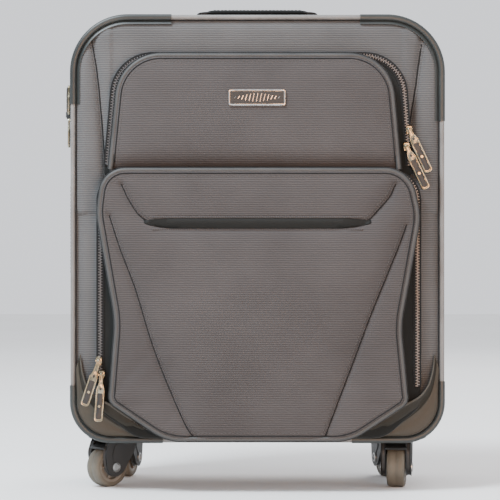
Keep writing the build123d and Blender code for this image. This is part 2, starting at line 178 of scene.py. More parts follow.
# ---- mesh building ------------------------------------------------------
class Shape:
    """Collects faces, then becomes one object. weave holds, for each vertex, its place
    on the cloth in metres: (along the ribs, across the ribs, 0)."""

    def __init__(self):
        self.verts, self.faces, self.slots, self.weave = [], [], [], []

    def vert(self, point, weave=None):
        self.verts.append(Vector(point))
        self.weave.append(Vector(weave) if weave is not None else Vector((point[0], point[2], 0)))
        return len(self.verts) - 1

    def face(self, indices, slot=0):
        self.faces.append(tuple(indices))
        self.slots.append(slot)

    def bridge(self, row_a, row_b, closed=True, slot=0):
        """Quads between two rows of vertex indices of equal length."""
        count = len(row_a)
        for i in range(count if closed else count - 1):
            j = (i + 1) % count
            self.face((row_a[i], row_a[j], row_b[j], row_b[i]), slot)

    def skin(self, rows, closed=True, slot=0, ends=False):
        """Quads between each row of vertices and the next, and a face over each end if asked."""
        for row_a, row_b in zip(rows, rows[1:]):
            self.bridge(row_a, row_b, closed, slot)
        if ends:
            self.face(reversed(rows[0]), slot)
            self.face(rows[-1], slot)

    def loft(self, loops, caps=True, slot=0, weaves=None):
        """Skin over a list of closed loops of 3-D points."""
        rows = []
        for k, loop in enumerate(loops):
            marks = weaves[k] if weaves else [None] * len(loop)
            rows.append([self.vert(p, w) for p, w in zip(loop, marks)])
        self.skin(rows, slot=slot, ends=caps)
        return rows

    def absorb(self, other, turn, spot=(0, 0, 0)):
        """Adds another shape, turned and then moved."""
        base = len(self.verts)
        self.verts += [Vector(spot) + turn @ v for v in other.verts]
        self.weave += other.weave
        self.faces += [tuple(i + base for i in f) for f in other.faces]
        self.slots += other.slots

    def tube(self, path, radius, sides=10, closed=False, slot=0, flat=1.0, normal=None):
        """Round or flattened tube along a 3-D path. normal is the direction of its flat
        section's short side, and radius may be a function of the share of the path."""
        count = len(path)
        rows = []
        length = 0.0
        up = Vector(normal) if normal is not None else None
        for i, point in enumerate(path):
            before = path[i - 1] if closed or i else path[i]
            after = path[(i + 1) % count] if closed or i < count - 1 else path[i]
            tangent = (after - before).normalized()
            if up is None:
                up = tangent.orthogonal()
            short = (up - tangent * up.dot(tangent)).normalized()
            if normal is None:
                up = short
            wide = tangent.cross(short)
            r = radius(i / max(1, count - 1)) if callable(radius) else radius
            if i:
                length += (point - path[i - 1]).length
            row = []
            for k in range(sides):
                a = math.tau * k / sides
                offset = wide * (math.cos(a) * r) + short * (math.sin(a) * r * flat)
                row.append(self.vert(point + offset, (a * r, length, 0)))
            rows.append(row)
        self.skin(rows, slot=slot, ends=not closed)
        if closed:
            twist = min(range(sides), key=lambda s: sum(
                (self.verts[rows[-1][k]] - self.verts[rows[0][(k + s) % sides]]).length for k in range(sides)))
            self.bridge(rows[-1], rows[0][twist:] + rows[0][:twist], True, slot)

    def brick(self, centre, size, turn=None, bevel=0.0, slot=0):
        """Box with softened edges, turned by a matrix about its centre."""
        turn = turn or Matrix.Identity(3)
        hx, hy, hz = (s / 2 for s in size)
        b = min(bevel, hx * 0.9, hy * 0.9, hz * 0.9)
        levels = [(-hz, b), (-hz + b, 0.0), (hz - b, 0.0), (hz, b)] if b else [(-hz, 0.0), (hz, 0.0)]
        loops = []
        for z, inset in levels:
            x, y = hx - inset, hy - inset
            ring = [(-x, -y + b), (-x + b, -y), (x - b, -y), (x, -y + b), (x, y - b), (x - b, y),
                    (-x + b, y), (-x, y - b)] if b else [(-x, -y), (x, -y), (x, y), (-x, y)]
            loops.append([Vector(centre) + turn @ Vector((px, py, z)) for px, py in ring])
        self.loft(loops, slot=slot)

    def prism(self, loop, y_front, y_back, bevel=0.0, slot=0):
        """Flat plate: a loop of X, Z points filled from y_front to y_back, edges eased."""
        def ring(y, inset):
            out = []
            for i, p in enumerate(loop):
                edge = (Vector(loop[(i + 1) % len(loop)]) - Vector(loop[i - 1])).normalized()
                q = Vector(p) + Vector((-edge.y, edge.x)) * inset
                out.append(Vector((q.x, y, q.y)))
            return out
        self.loft([ring(y_front, bevel), ring(y_front + bevel, 0), ring(y_back - bevel, 0),
                   ring(y_back, bevel)] if bevel else [ring(y_front, 0), ring(y_back, 0)], slot=slot)

    def lathe(self, profile, centre, axis, sides=40, slot=0):
        """Solid of revolution: profile is a closed loop of (radius, along the axis)."""
        axis = Vector(axis).normalized()
        u = axis.orthogonal().normalized()
        w = axis.cross(u)
        rows = []
        for r, h in profile:
            rows.append([self.vert(Vector(centre) + axis * h + (u * math.cos(math.tau * k / sides)
                         + w * math.sin(math.tau * k / sides)) * r) for k in range(sides)])
        self.skin(rows + rows[:1], slot=slot)

    def object(self, name, materials, smooth=40):
        mesh = bpy.data.meshes.new(name)
        mesh.from_pydata([tuple(v) for v in self.verts], [], self.faces)
        for m in materials:
            mesh.materials.append(m)
        mesh.polygons.foreach_set("material_index", self.slots)
        weave = mesh.attributes.new("weave", "FLOAT_VECTOR", "POINT")
        weave.data.foreach_set("vector", [c for w in self.weave for c in w])
        mesh.validate()
        obj = bpy.data.objects.new(name, mesh)
        bpy.context.scene.collection.objects.link(obj)
        tidy_mesh(obj, smooth)
        return obj


def tidy_mesh(obj, smooth):
    """Outward faces, and smooth shading up to an angle in degrees."""
    bm = bmesh.new()
    bm.from_mesh(obj.data)
    bmesh.ops.recalc_face_normals(bm, faces=bm.faces)
    limit = math.radians(smooth)
    for face in bm.faces:
        face.smooth = smooth > 0
    for edge in bm.edges:
        edge.smooth = len(edge.link_faces) != 2 or edge.calc_face_angle(0) < limit
    bm.to_mesh(obj.data)
    bm.free()


def apply_modifiers(obj):
    """Bakes every modifier into the object's own mesh."""
    graph = bpy.context.evaluated_depsgraph_get()
    graph.update()
    mesh = bpy.data.meshes.new_from_object(obj.evaluated_get(graph), preserve_all_data_layers=True,
                                           depsgraph=graph)
    obj.modifiers.clear()
    obj.data = mesh


def refine(obj, thickness=0.0, offset=-1.0, levels=1):
    """Gives a sheet a thickness, subdivides it, and bakes both into its mesh."""
    if thickness:
        thick = obj.modifiers.new("thick", "SOLIDIFY")
        thick.thickness = thickness
        thick.offset = offset
    if levels:
        obj.modifiers.new("smooth", "SUBSURF").levels = levels
    apply_modifiers(obj)


def cut_boxes(obj, boxes):
    """Cuts box-shaped holes, given as pairs of opposite corners, out of a closed mesh."""
    tool_shape = Shape()
    for low, high in boxes:
        low, high = Vector(low), Vector(high)
        tool_shape.brick((low + high) / 2, high - low)
    tool = tool_shape.object(obj.name + "_cutter", [])
    cut = obj.modifiers.new("cut", "BOOLEAN")
    cut.operation = "DIFFERENCE"
    cut.solver = "EXACT"
    cut.object = tool
    apply_modifiers(obj)
    bpy.data.objects.remove(tool)


def keep(obj, body, slot, *nodes):
    """Puts a finished piece on its body and hides the CAD nodes it stands for. slot is not used."""
    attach(obj, body)
    if nodes:
        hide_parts(*nodes)
    return obj


# ---- materials ----------------------------------------------------------
class Nodes:
    """Short way to wire a material's nodes."""

    def __init__(self, name):
        self.material = bpy.data.materials.new(name)
        self.material.use_nodes = True
        self.tree = self.material.node_tree
        self.shader = self.tree.nodes["Principled BSDF"]

    def add(self, kind, **values):
        node = self.tree.nodes.new("ShaderNode" + kind)
        for key, value in values.items():
            setattr(node, key, value)
        return node

    def link(self, source, target):
        self.tree.links.new(source, target)

    def math(self, operation, a, b=None):
        node = self.add("Math", operation=operation)
        for socket, value in zip(node.inputs, (a, b)):
            if value is None:
                continue
            if isinstance(value, (int, float)):
                socket.default_value = value
            else:
                self.link(value, socket)
        return node.outputs[0]

    def weighted(self, *terms):
        """Sum of (value, weight) terms."""
        total = None
        for value, weight in terms:
            part = value if weight == 1 else self.math("MULTIPLY", value, weight)
            total = part if total is None else self.math("ADD", total, part)
        return total

    def place(self):
        """Where a point is in the piece, in metres."""
        return self.add("TexCoord").outputs["Object"]

    def cloth_place(self):
        """Where a point is on the cloth, in metres, as a vector and its X and Y: X runs along
        the ribs, Y across them."""
        place = self.add("Attribute", attribute_name="weave").outputs["Vector"]
        split = self.add("SeparateXYZ")
        self.link(place, split.inputs[0])
        return place, split.outputs["X"], split.outputs["Y"]

    def noise(self, place, scale, detail=3.0, roughness=0.55):
        node = self.add("TexNoise")
        self.link(place, node.inputs["Vector"])
        node.inputs["Scale"].default_value = scale
        node.inputs["Detail"].default_value = detail
        node.inputs["Roughness"].default_value = roughness
        return node.outputs["Fac"]

    def ramp(self, value, *stops):
        """Colour or grey ramp from (position, colour) stops."""
        node = self.add("ValToRGB")
        band = node.color_ramp
        while len(band.elements) < len(stops):
            band.elements.new(0.5)
        for element, (position, colour) in zip(band.elements, stops):
            element.position = position
            element.color = (*colour, 1) if isinstance(colour, (tuple, list)) else (colour, colour, colour, 1)
        self.link(value, node.inputs["Fac"])
        return node.outputs["Color"]

    def mix(self, factor, a, b):
        node = self.add("Mix", data_type="RGBA")
        for socket, value in ((node.inputs["Factor"], factor), (node.inputs["A"], a), (node.inputs["B"], b)):
            if isinstance(value, (int, float)):
                socket.default_value = value
            elif isinstance(value, tuple):
                socket.default_value = (*value, 1)
            else:
                self.link(value, socket)
        return node.outputs["Result"]

    def bump(self, height, distance, strength):
        node = self.add("Bump")
        node.inputs["Distance"].default_value = distance
        node.inputs["Strength"].default_value = strength
        self.link(height, node.inputs["Height"])
        return node.outputs["Normal"]

    def waves(self, value, pitch):
        """0 to 1 wave, one period every pitch metres."""
        sine = self.math("SINE", self.math("MULTIPLY", value, math.tau / pitch))
        return self.math("MULTIPLY", self.math("ADD", sine, 1.0), 0.5)

    def finish(self, colour, roughness, normal=None, **fixed):
        for socket, value in (("Base Color", colour), ("Roughness", roughness), ("Normal", normal)):
            if value is None:
                continue
            if isinstance(value, (int, float)):
                self.shader.inputs[socket].default_value = value
            elif isinstance(value, tuple):
                self.shader.inputs[socket].default_value = (*value, 1)
            else:
                self.link(value, self.shader.inputs[socket])
        for key, value in fixed.items():
            self.shader.inputs[key.replace("_", " ")].default_value = value
        return self.material


def rib_fabric(name, dark, light, rib=2.4 * MM, thread=0.9 * MM, worn=0.08):
    """Polyester with fine ribs, a thread along them, soft colour drift and light wear."""
    n = Nodes(name)
    place, along, across = n.cloth_place()
    drift = n.noise(n.place(), 9.0, 3.0)
    ribs = n.waves(n.weighted((across, 1), (n.noise(place, 60.0, 2.0), 0.9 * MM)), rib)
    threads = n.waves(along, thread)
    fuzz = n.noise(place, 1500.0, 2.0, 0.7)
    height = n.weighted((ribs, 0.75), (threads, 0.16), (fuzz, 0.25))
    shade = n.weighted((ribs, 0.27), (fuzz, 0.34), (drift, 0.46))
    colour = n.ramp(shade, (0.25, dark), (0.85, light))
    specks = n.ramp(n.noise(n.place(), 420.0, 1.0), (0.66, 0.0), (0.76, 1.0))
    colour = n.mix(n.math("MULTIPLY", specks, worn), colour, tuple(min(1.0, c * 1.5) for c in light))
    rough = n.ramp(drift, (0.3, 0.74), (0.7, 0.86))
    return n.finish(colour, rough, n.bump(height, 0.35 * MM, 0.55), Sheen_Weight=0.12,
                    Sheen_Roughness=0.45, Specular_IOR_Level=0.2)


def plain_weave(name, dark, light, pitch=1.0 * MM, sheen=0.12, rough=0.85, height=0.2 * MM):
    """Plain over-and-under weave."""
    n = Nodes(name)
    _, along, across = n.cloth_place()
    cross = n.math("MULTIPLY", n.waves(along, pitch), n.waves(across, pitch))
    fuzz = n.noise(n.place(), 1200.0, 2.0, 0.7)
    drift = n.noise(n.place(), 14.0)
    colour = n.ramp(n.weighted((cross, 0.4), (fuzz, 0.35), (drift, 0.3)), (0.2, dark), (0.85, light))
    body = n.weighted((cross, 1), (fuzz, 0.3))
    return n.finish(colour, rough, n.bump(body, height, 0.6), Sheen_Weight=sheen, Sheen_Roughness=0.4,
                    Specular_IOR_Level=0.16)


def webbing_weave(name, dark, light, pitch=1.8 * MM):
    """Strap webbing: chevron ribs that cross the strap."""
    n = Nodes(name)
    _, along, across = n.cloth_place()
    fold = n.math("PINGPONG", along, 3.0 * MM)
    chevron = n.waves(n.weighted((across, 1), (fold, 0.55)), pitch)
    fuzz = n.noise(n.place(), 1400.0, 2.0, 0.7)
    shade = n.weighted((chevron, 0.55), (fuzz, 0.4))
    colour = n.ramp(shade, (0.15, dark), (0.9, light))
    return n.finish(colour, 0.8, n.bump(shade, 0.3 * MM, 0.7), Sheen_Weight=0.2, Specular_IOR_Level=0.3)


def moulded(name, dark, light, rough=0.5, grain=900.0, depth=0.06 * MM, coat=0.0):
    """Moulded plastic or smooth vinyl: fine grain, faint scuffs and uneven gloss."""
    n = Nodes(name)
    place = n.place()
    cells = n.add("TexVoronoi", feature="F1")
    n.link(place, cells.inputs["Vector"])
    cells.inputs["Scale"].default_value = grain
    drift = n.noise(place, 22.0, 4.0)
    scuff_place = n.add("Mapping")
    scuff_place.inputs["Scale"].default_value = (30.0, 160.0, 60.0)
    n.link(place, scuff_place.inputs["Vector"])
    scuffs = n.ramp(n.noise(scuff_place.outputs[0], 3.0, 5.0, 0.7), (0.62, 0.0), (0.74, 1.0))
    colour = n.ramp(drift, (0.3, dark), (0.75, light))
    colour = n.mix(n.math("MULTIPLY", scuffs, 0.12), colour, tuple(min(1.0, c * 2.2 + 0.02) for c in light))
    roughness = n.math("ADD", n.weighted((drift, 0.22), (scuffs, 0.1)), rough - 0.11)
    return n.finish(colour, roughness, n.bump(cells.outputs["Distance"], depth, 0.5), Coat_Weight=coat,
                    Coat_Roughness=0.3, Specular_IOR_Level=0.45)


def metal(name, dark, light, rough=0.28, brush=(1.0, 1.0, 40.0)):
    """Plated or brushed metal with a fine directional scratch and patchy tarnish."""
    n = Nodes(name)
    place = n.place()
    mapping = n.add("Mapping")
    mapping.inputs["Scale"].default_value = brush
    n.link(place, mapping.inputs["Vector"])
    lines = n.noise(mapping.outputs[0], 160.0, 3.0, 0.7)
    drift = n.noise(place, 70.0, 3.0)
    colour = n.ramp(drift, (0.3, dark), (0.7, light))
    roughness = n.math("ADD", n.math("MULTIPLY", lines, 0.24), rough - 0.12)
    return n.finish(colour, roughness, n.bump(lines, 0.02 * MM, 0.35), Metallic=1.0)


def stitched_cord(name, dark, light):
    """Piping: vinyl pulled over a round cord, with faint cross wrinkles."""
    n = Nodes(name)
    _, _, across = n.cloth_place()
    wrinkles = n.waves(n.weighted((across, 1), (n.noise(n.place(), 120.0), 3 * MM)), 3.1 * MM)
    drift = n.noise(n.place(), 30.0, 3.0)
    fine = n.noise(n.place(), 1100.0, 2.0)
    colour = n.ramp(n.weighted((drift, 0.6), (fine, 0.3)), (0.25, dark), (0.7, light))
    height = n.weighted((wrinkles, 0.6), (fine, 0.4))
    return n.finish(colour, n.ramp(drift, (0.3, 0.5), (0.7, 0.66)), n.bump(height, 0.12 * MM, 0.5),
                    Specular_IOR_Level=0.45)


def floor_paper(name):
    n = Nodes(name)
    drift = n.noise(n.place(), 2.0, 4.0)
    colour = n.ramp(drift, (0.2, (0.83, 0.825, 0.815)), (0.8, (0.87, 0.868, 0.86)))
    return n.finish(colour, 0.8, n.bump(n.noise(n.place(), 350.0), 0.1 * MM, 0.2))


RIB = rib_fabric("rib_fabric", (0.0331, 0.0336, 0.0344), (0.1136, 0.1161, 0.1188))
RIB_POCKET = rib_fabric("rib_fabric_pocket", (0.0214, 0.0192, 0.0194), (0.0732, 0.0686, 0.0684))
GUSSET = plain_weave("gusset_weave", (0.0054, 0.0061, 0.0061), (0.0162, 0.0180, 0.0175))
WELT = plain_weave("welt_satin", (0.0054, 0.0063, 0.0059), (0.0153, 0.0166, 0.0158), pitch=0.6 * MM,
                   rough=0.6, sheen=0.04)
PATCH = plain_weave("patch_satin", (0.0341, 0.0304, 0.0236), (0.0713, 0.0645, 0.0521), pitch=0.5 * MM,
                    rough=0.5,
                    height=0.06 * MM)
# Darker copy of the corner patch satin: painted shadow on the steep band under the lower pocket.
PATCH_PAINTED_SHADOW = plain_weave("patch_satin_painted_shadow", (0.011, 0.0095, 0.0065), (0.026, 0.0225, 0.016), pitch=0.5 * MM,
                         rough=0.5, sheen=0.04, height=0.06 * MM)
LINING = plain_weave("lining_weave", (0.030, 0.032, 0.036), (0.072, 0.076, 0.084), pitch=0.8 * MM, rough=0.6)
WEBBING = webbing_weave("webbing_weave", (0.0128, 0.0136, 0.0144), (0.0416, 0.0432, 0.0448))
TAPE = plain_weave("zip_tape_weave", (0.0070, 0.0075, 0.0080), (0.0200, 0.0210, 0.0220), pitch=0.7 * MM)
PIPING = stitched_cord("piping_vinyl", (0.1050, 0.1040, 0.1020), (0.1900, 0.1880, 0.1840))
PIPING_POCKET = stitched_cord("piping_pocket", (0.0220, 0.0231, 0.0231), (0.0506, 0.0517, 0.0512))
GUARD = moulded("guard_vinyl", (0.0112, 0.0144, 0.0144), (0.0240, 0.0288, 0.0280), rough=0.44)
THREAD = plain_weave("thread", (0.0420, 0.0408, 0.0396), (0.0960, 0.0930, 0.0900), pitch=0.4 * MM)
PLASTIC = moulded("moulded_plastic", (0.0090, 0.0100, 0.0105), (0.0180, 0.0195, 0.0200), rough=0.5)
GRIP = moulded("soft_grip", (0.020, 0.021, 0.022), (0.038, 0.040, 0.041), rough=0.62, grain=1400.0)
BUTTON = moulded("button_plastic", (0.075, 0.078, 0.08), (0.12, 0.124, 0.126), rough=0.34, coat=0.3)
BOARD = moulded("hollow_board", (0.03, 0.03, 0.03), (0.06, 0.06, 0.06), rough=0.6, grain=300.0)
WHEEL = moulded("wheel_core", (0.1200, 0.1140, 0.0990), (0.1800, 0.1710, 0.1500), rough=0.45)
TYRE = moulded("wheel_tyre", (0.0678, 0.0617, 0.0469), (0.1178, 0.1085, 0.0848), rough=0.58, grain=700.0)
ZIP_TOOTH = moulded("zip_teeth", (0.05, 0.052, 0.055), (0.12, 0.123, 0.128), rough=0.3, coat=0.2)
CHAMPAGNE = metal("champagne_metal", (0.1980, 0.1680, 0.1080), (0.3600, 0.3240, 0.2400), rough=0.26)
CHROME = metal("badge_chrome", (0.3570, 0.3485, 0.3400), (0.5950, 0.5865, 0.5695), rough=0.24,
               brush=(40.0, 1.0, 1.0))
ALUMINIUM = metal("tube_aluminium", (0.52, 0.53, 0.54), (0.70, 0.71, 0.72), rough=0.32,
                  brush=(30.0, 30.0, 0.6))
STEEL = metal("axle_steel", (0.2040, 0.2040, 0.1980), (0.3360, 0.3360, 0.3300), rough=0.3)
ENAMEL = moulded("dark_enamel", (0.006, 0.007, 0.007), (0.014, 0.015, 0.016), rough=0.5)
DIAL = metal("dial_metal", (0.50, 0.48, 0.43), (0.70, 0.68, 0.62), rough=0.35)
DIGIT = moulded("dial_digit", (0.012, 0.012, 0.012), (0.03, 0.03, 0.03), rough=0.5)


# ---- stage: camera, floor and lights ------------------------------------
CAMERA_X = -8 * MM
CAMERA_Z = 260 * MM
CAMERA_GAP = 2.2
FRAME_WIDTH = 539 * MM
AIM = Vector((0, 0, 0.28))
# Name, place, size, power and colour of each lamp, all aimed at the same point.
LIGHTS = [("key", (-0.9, -0.95, 2.0), 0.7, 100, (0.84, 0.93, 1.0)),
          ("fill", (2.0, -1.2, 1.1), 1.4, 9, (0.95, 0.97, 1.0)),
          ("warm_low", (0.4, -1.7, 0.10), 0.9, 34, (1.0, 0.50, 0.22)),
          ("rim", (0.9, 1.9, 1.9), 1.5, 30, (1.0, 1.0, 1.0))]


def build_stage():
    data = bpy.data.cameras.new("camera")
    data.sensor_width = 36
    data.lens = data.sensor_width * CAMERA_GAP / FRAME_WIDTH
    camera = bpy.data.objects.new("camera", data)
    camera.location = (CAMERA_X, case_front - CAMERA_GAP, CAMERA_Z)
    camera.rotation_euler = (math.pi / 2, 0, 0)
    bpy.context.scene.collection.objects.link(camera)
    bpy.context.scene.camera = camera

    floor = Shape()
    rows = [[floor.vert((x, y, 0)) for x in (-6, -2, 2, 6)] for y in (-6, -2, 2, 6)]
    floor.skin(rows, False)
    stage = floor.object("floor", [floor_paper("floor_paper")])
    if stage.data.polygons[0].normal.z < 0:
        stage.data.flip_normals()

    world = bpy.data.worlds.new("studio")
    bpy.context.scene.world = world
    world.use_nodes = True
    background = world.node_tree.nodes["Background"]
    background.inputs["Color"].default_value = (0.93, 0.95, 1.0, 1)
    background.inputs["Strength"].default_value = 1.25
    for name, place, size, power, colour in LIGHTS:
        lamp = bpy.data.lights.new(name, "AREA")
        lamp.size = size
        lamp.energy = power
        lamp.color = colour
        light = bpy.data.objects.new(name, lamp)
        light.location = place
        light.rotation_euler = (AIM - Vector(place)).to_track_quat("-Z", "Y").to_euler()
        bpy.context.scene.collection.objects.link(light)


# ---- the case's outline, shared by shells, piping and zips --------------
def loop_normals(loop):
    """Outward directions of a counter-clockwise X, Z loop."""
    out = []
    for i in range(len(loop)):
        edge = (loop[(i + 1) % len(loop)] - loop[i - 1]).normalized()
        out.append(Vector((edge.y, -edge.x)))
    return out


def inset_loop(loop, amount):
    return [p - n * amount for p, n in zip(loop, loop_normals(loop))]


def loop_at(loop, y):
    return [Vector((p.x, y, p.y)) for p in loop]


CASE_LOOP = resample(outline(rectangle(-case_side, case_bottom, case_side, case_top),
                             [BOTTOM_RADIUS] * 2 + [TOP_RADIUS] * 2, 3 * MM), 360)
CASE_OUT = loop_normals(CASE_LOOP)
CASE_STEP = (CASE_LOOP[1] - CASE_LOOP[0]).length


def case_ring(inset, y):
    """The case's outline inset by a length, standing at depth y."""
    return loop_at(inset_loop(CASE_LOOP, inset), y)


def band_weave(ring):
    """Ribs run front to back on the band, so the weave follows the outline's length."""
    return [Vector((p.y, i * CASE_STEP, 0)) for i, p in enumerate(ring)]


def front_weave(ring):
    return [Vector((p.x, p.z, 0)) for p in ring]


def case_index(x, z):
    """Index of the outline point nearest to a place."""
    place = Vector((x, z))
    return min(range(len(CASE_LOOP)), key=lambda i: (CASE_LOOP[i] - place).length)


# ---- fabric shells ------------------------------------------------------
WALL = 3 * MM
CORD_INSET = 1.1 * MM
ZIP_GAP = 3.5 * MM
PIPE = 2.6 * MM
CROWN = 1.1 * MM


def crowned(share, amount=CROWN):
    """Inset of a side wall that stands slightly full between its two edges."""
    return -amount * math.sin(math.pi * share) ** 0.8 if 0 < share < 1 else 0.0


def build_body_shell():
    """Side wall of the body: a full band of ribbed fabric between the zip and the rear piping."""
    shape = Shape()
    start, end = split_y + ZIP_GAP, case_back - 1.2 * MM
    shares = [0, 0.02, 0.06, 0.14, 0.26, 0.4, 0.55, 0.7, 0.83, 0.92, 0.97, 1]
    loops = []
    for s in shares:
        edge = 0.5 * MM * (s in (0, 1))
        loops.append(case_ring(crowned(s) + edge, start + (end - start) * s))
    for s in (1, 0.66, 0.33, 0):
        loops.append(case_ring(WALL, start + (end - start) * s))
    weaves = [band_weave(loop) for loop in loops]
    rows = shape.loft(loops, caps=False, weaves=weaves)
    shape.bridge(rows[-1], rows[0])
    obj = shape.object("body_side_fabric", [RIB])
    cup_low, cup_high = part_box("trolley_cup")
    lock_low, lock_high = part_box("lock_dial_1")
    top_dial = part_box("lock_dial_3")[1]
    cut_boxes(obj, [((cup_low.x + 5 * MM, cup_low.y + 5 * MM, cup_low.z),
                     (cup_high.x - 5 * MM, cup_high.y - 4 * MM, case_top + 18 * MM)),
                    ((-case_side - 6 * MM, lock_low.y - 1 * MM, lock_low.z - 0.5 * MM),
                     (-case_side + 10 * MM, lock_high.y + 1 * MM, top_dial.z + 0.5 * MM))])
    return keep(obj, "root", "shell_fabric", "body_shell")


def build_back_panel():
    """Back face: fabric over the board, with two upright seams."""
    shape = Shape()
    face_y = case_back
    insets = [2.2, 3.4, 5, 8, 12, 18, 26, 36]
    lift = [-1.6, -0.4, 0.4, 1.0, 1.3, 1.4, 1.4, 1.4]
    loops = [case_ring(WALL + 0.1 * MM, face_y - WALL)]
    loops += [case_ring(i * MM, face_y + h * MM) for i, h in zip(insets, lift)]
    shape.loft(loops, weaves=[front_weave(loop) for loop in loops])
    obj = shape.object("back_fabric", [RIB])
    keep(obj, "root", "shell_fabric", "back_panel")
    trim = Shape()
    y = face_y + 1.5 * MM
    for x in (-0.112, 0.112):
        run = [Vector((x, y, z)) for z in (0.075, 0.15, 0.25, 0.35, 0.45, 0.492)]
        path = [a.lerp(b, t / 6) for a, b in zip(run, run[1:]) for t in range(6)] + [run[-1]]
        trim.tube(path, 1.1 * MM, 8, normal=(0, 1, 0), flat=0.45)
        for side in (-3.2, 3.2):
            stitches(trim, [p + Vector((side * MM, 0.1 * MM, 0)) for p in path], slot=1)
    guard = outline(flat_points((-168, 64), (168, 64), (176, 118), (-176, 118)), [26 * MM] * 2 + [8 * MM] * 2,
                    5 * MM)
    trim.prism(guard, y - 0.6 * MM, y + 0.7 * MM, 0.5 * MM, slot=2)
    edge = loop_at(guard, y + 0.8 * MM)
    middle = Vector((0, y + 0.8 * MM, 0.09))
    stitches(trim, [p.lerp(middle, 0.028) for p in edge] + [edge[0].lerp(middle, 0.028)], slot=1)
    obj = trim.object("back_seams", [RIB, THREAD, GUARD])
    keep(obj, "root", "trim_fabric")


def cap(shape, row, slot=0, spacing=24 * MM):
    """Closes a standing row of vertices with a coarse net of triangles."""
    border = [shape.verts[i] for i in row]
    sheet, faces = fill_loop([Vector((p.x, p.z)) for p in border], spacing, border[0].y)
    net = list(row) + [shape.vert(p) for p in sheet[len(row):]]
    for face in faces:
        shape.face([net[i] for i in face], slot)


def lid_face_y(p):
    """Depth of the lid's front at a place: full side panels, creased along their seams."""
    edge = EDGE_TREE.find((p.x, 0, p.y))[2]
    seam = SIDE_TREE.find((p.x, 0, p.y))[2]
    y = case_front - 0.2 * MM + 3.4 * MM * math.exp(-(edge / (5.5 * MM)) ** 2)
    if p.y > 0.3:
        beyond = abs(p.x) > 0.158
        y -= 3.0 * MM * (1 - math.exp(-(seam / (8 * MM)) ** 2)) * (1.0 if beyond else 0.5)
        y += 3.0 * MM * math.exp(-(seam / (3.0 * MM)) ** 2)
    else:
        y -= 2.0 * MM * (1 - math.exp(-(edge / (12 * MM)) ** 2)) * (1 if abs(p.x) > 0.15 else 0)
    return y


def build_lid_shell():
    """Lid: side band and front face in one, dipping into a groove inside the piping."""
    shape = Shape()
    back, front = split_y - ZIP_GAP, case_front
    loops, weaves = [], []
    def add(ring, weave):
        loops.append(ring)
        weaves.append(weave(ring))
    for s in (0, 0.04, 0.14, 0.32, 0.55, 0.78, 0.92, 1):
        edge = 0.5 * MM * (s in (0, 1))
        add(case_ring(crowned(s, 0.9 * MM) + edge, back + (front + 2.2 * MM - back) * s), band_weave)
    add(case_ring(2.4 * MM, front + 1.9 * MM), front_weave)
    add(case_ring(4.2 * MM, front + 2.4 * MM), front_weave)
    rows = shape.loft(loops, caps=False, weaves=weaves)
    rim = inset_loop(CASE_LOOP, 5.8 * MM)
    sheet, faces = fill_loop(rim, 6 * MM, front)
    panel = [shape.vert((p.x, lid_face_y(Vector((p.x, p.z))), p.z)) for p in sheet]
    shape.bridge(rows[-1], panel[:len(rim)])
    for face in faces:
        shape.face([panel[i] for i in face])
    inner = [case_ring(WALL, back), case_ring(WALL, (back + front) / 2),
             case_ring(WALL, front + WALL + 1 * MM)]
    inner_rows = shape.loft(inner, caps=False, weaves=[band_weave(r) for r in inner])
    shape.bridge(inner_rows[0], rows[0])
    cap(shape, inner_rows[-1])
    obj = shape.object("lid_fabric", [RIB])
    refine(obj)
    for v in obj.data.vertices:
        if v.co.y < front + 1.6 * MM and EDGE_TREE.find((v.co.x, 0, v.co.z))[2] > 2 * MM:
            v.co.y = lid_face_y(Vector((v.co.x, v.co.z)))
    tidy_mesh(obj, 50)
    return keep(obj, "lid", "shell_fabric", "lid_shell")


STITCH_GAP = 1.5 * MM
STITCH_RADIUS = 0.36 * MM


def stitches(shape, run, length=2.6 * MM, slot=0):
    """Row of thread stitches along a 3-D run of points."""
    total = distances(run)
    def at(distance):
        for i in range(1, len(run)):
            if total[i] >= distance:
                span = total[i] - total[i - 1] or 1.0
                return run[i - 1].lerp(run[i], (distance - total[i - 1]) / span)
        return run[-1]
    def taper(share):
        return STITCH_RADIUS * (1.0 if 0.1 < share < 0.9 else 0.45)
    here = STITCH_GAP
    while here + length < total[-1]:
        a, b = at(here), at(here + length)
        shape.tube([a.lerp(b, t) for t in (0.0, 0.2, 0.8, 1.0)], taper, 5, slot=slot)
        here += length + STITCH_GAP


def build_piping():
    """Corded piping round the front and the back of the case."""
    for name, y, body, node in (("front_piping_cord", case_front, "lid", "front_piping"),
                                ("rear_piping_cord", case_back, "root", "rear_piping")):
        shape = Shape()
        shape.tube(case_ring(CORD_INSET, y), PIPE, 14, closed=True)
        facing = -1 if body == "lid" else 1
        # Thin dark tube just inside the cord: painted shadow in the groove between piping and panel.
        shape.tube(case_ring(4.3 * MM, y - facing * 0.2 * MM), 0.9 * MM, 8, closed=True, slot=1)
        keep(shape.object(name, [PIPING, TAPE]), body, "piping", node)


def guard_section(point, out):
    """Cross-section of a corner guard: down the side wall, round the piping, onto the face."""
    bead, skin = PIPE + 0.75 * MM, 0.8 * MM
    marks = [(-skin, 9.5 * MM), (-skin, 4 * MM)]
    for k in range(9):
        a = math.radians(-15 + 26 * k)
        marks.append((CORD_INSET - bead * math.cos(a), -bead * math.sin(a)))
    marks += [(5.4 * MM, -0.6 * MM), (8.6 * MM, -1.9 * MM)]
    inner = [(i + (0.5 * MM if j > 2 else 0.7 * MM), d + (0.8 * MM if j > 8 else 0))
             for j, (i, d) in enumerate(marks)]
    section = marks + inner[::-1]
    return [Vector((point.x - out.x * inset, case_front + depth, point.y - out.y * inset))
            for inset, depth in section]


# Where each guard starts and ends on the case's outline, as X and Z.
GUARD_REACHES = [((-case_side, 0.416), (-0.094, case_top)), ((0.111, case_top), (case_side, 0.397)),
                 ((case_side, 0.117), (0.100, case_bottom)), ((-0.103, case_bottom), (-case_side, 0.114))]
GUARD_SEAM = 12      # the point of the guard's section that its stitching follows


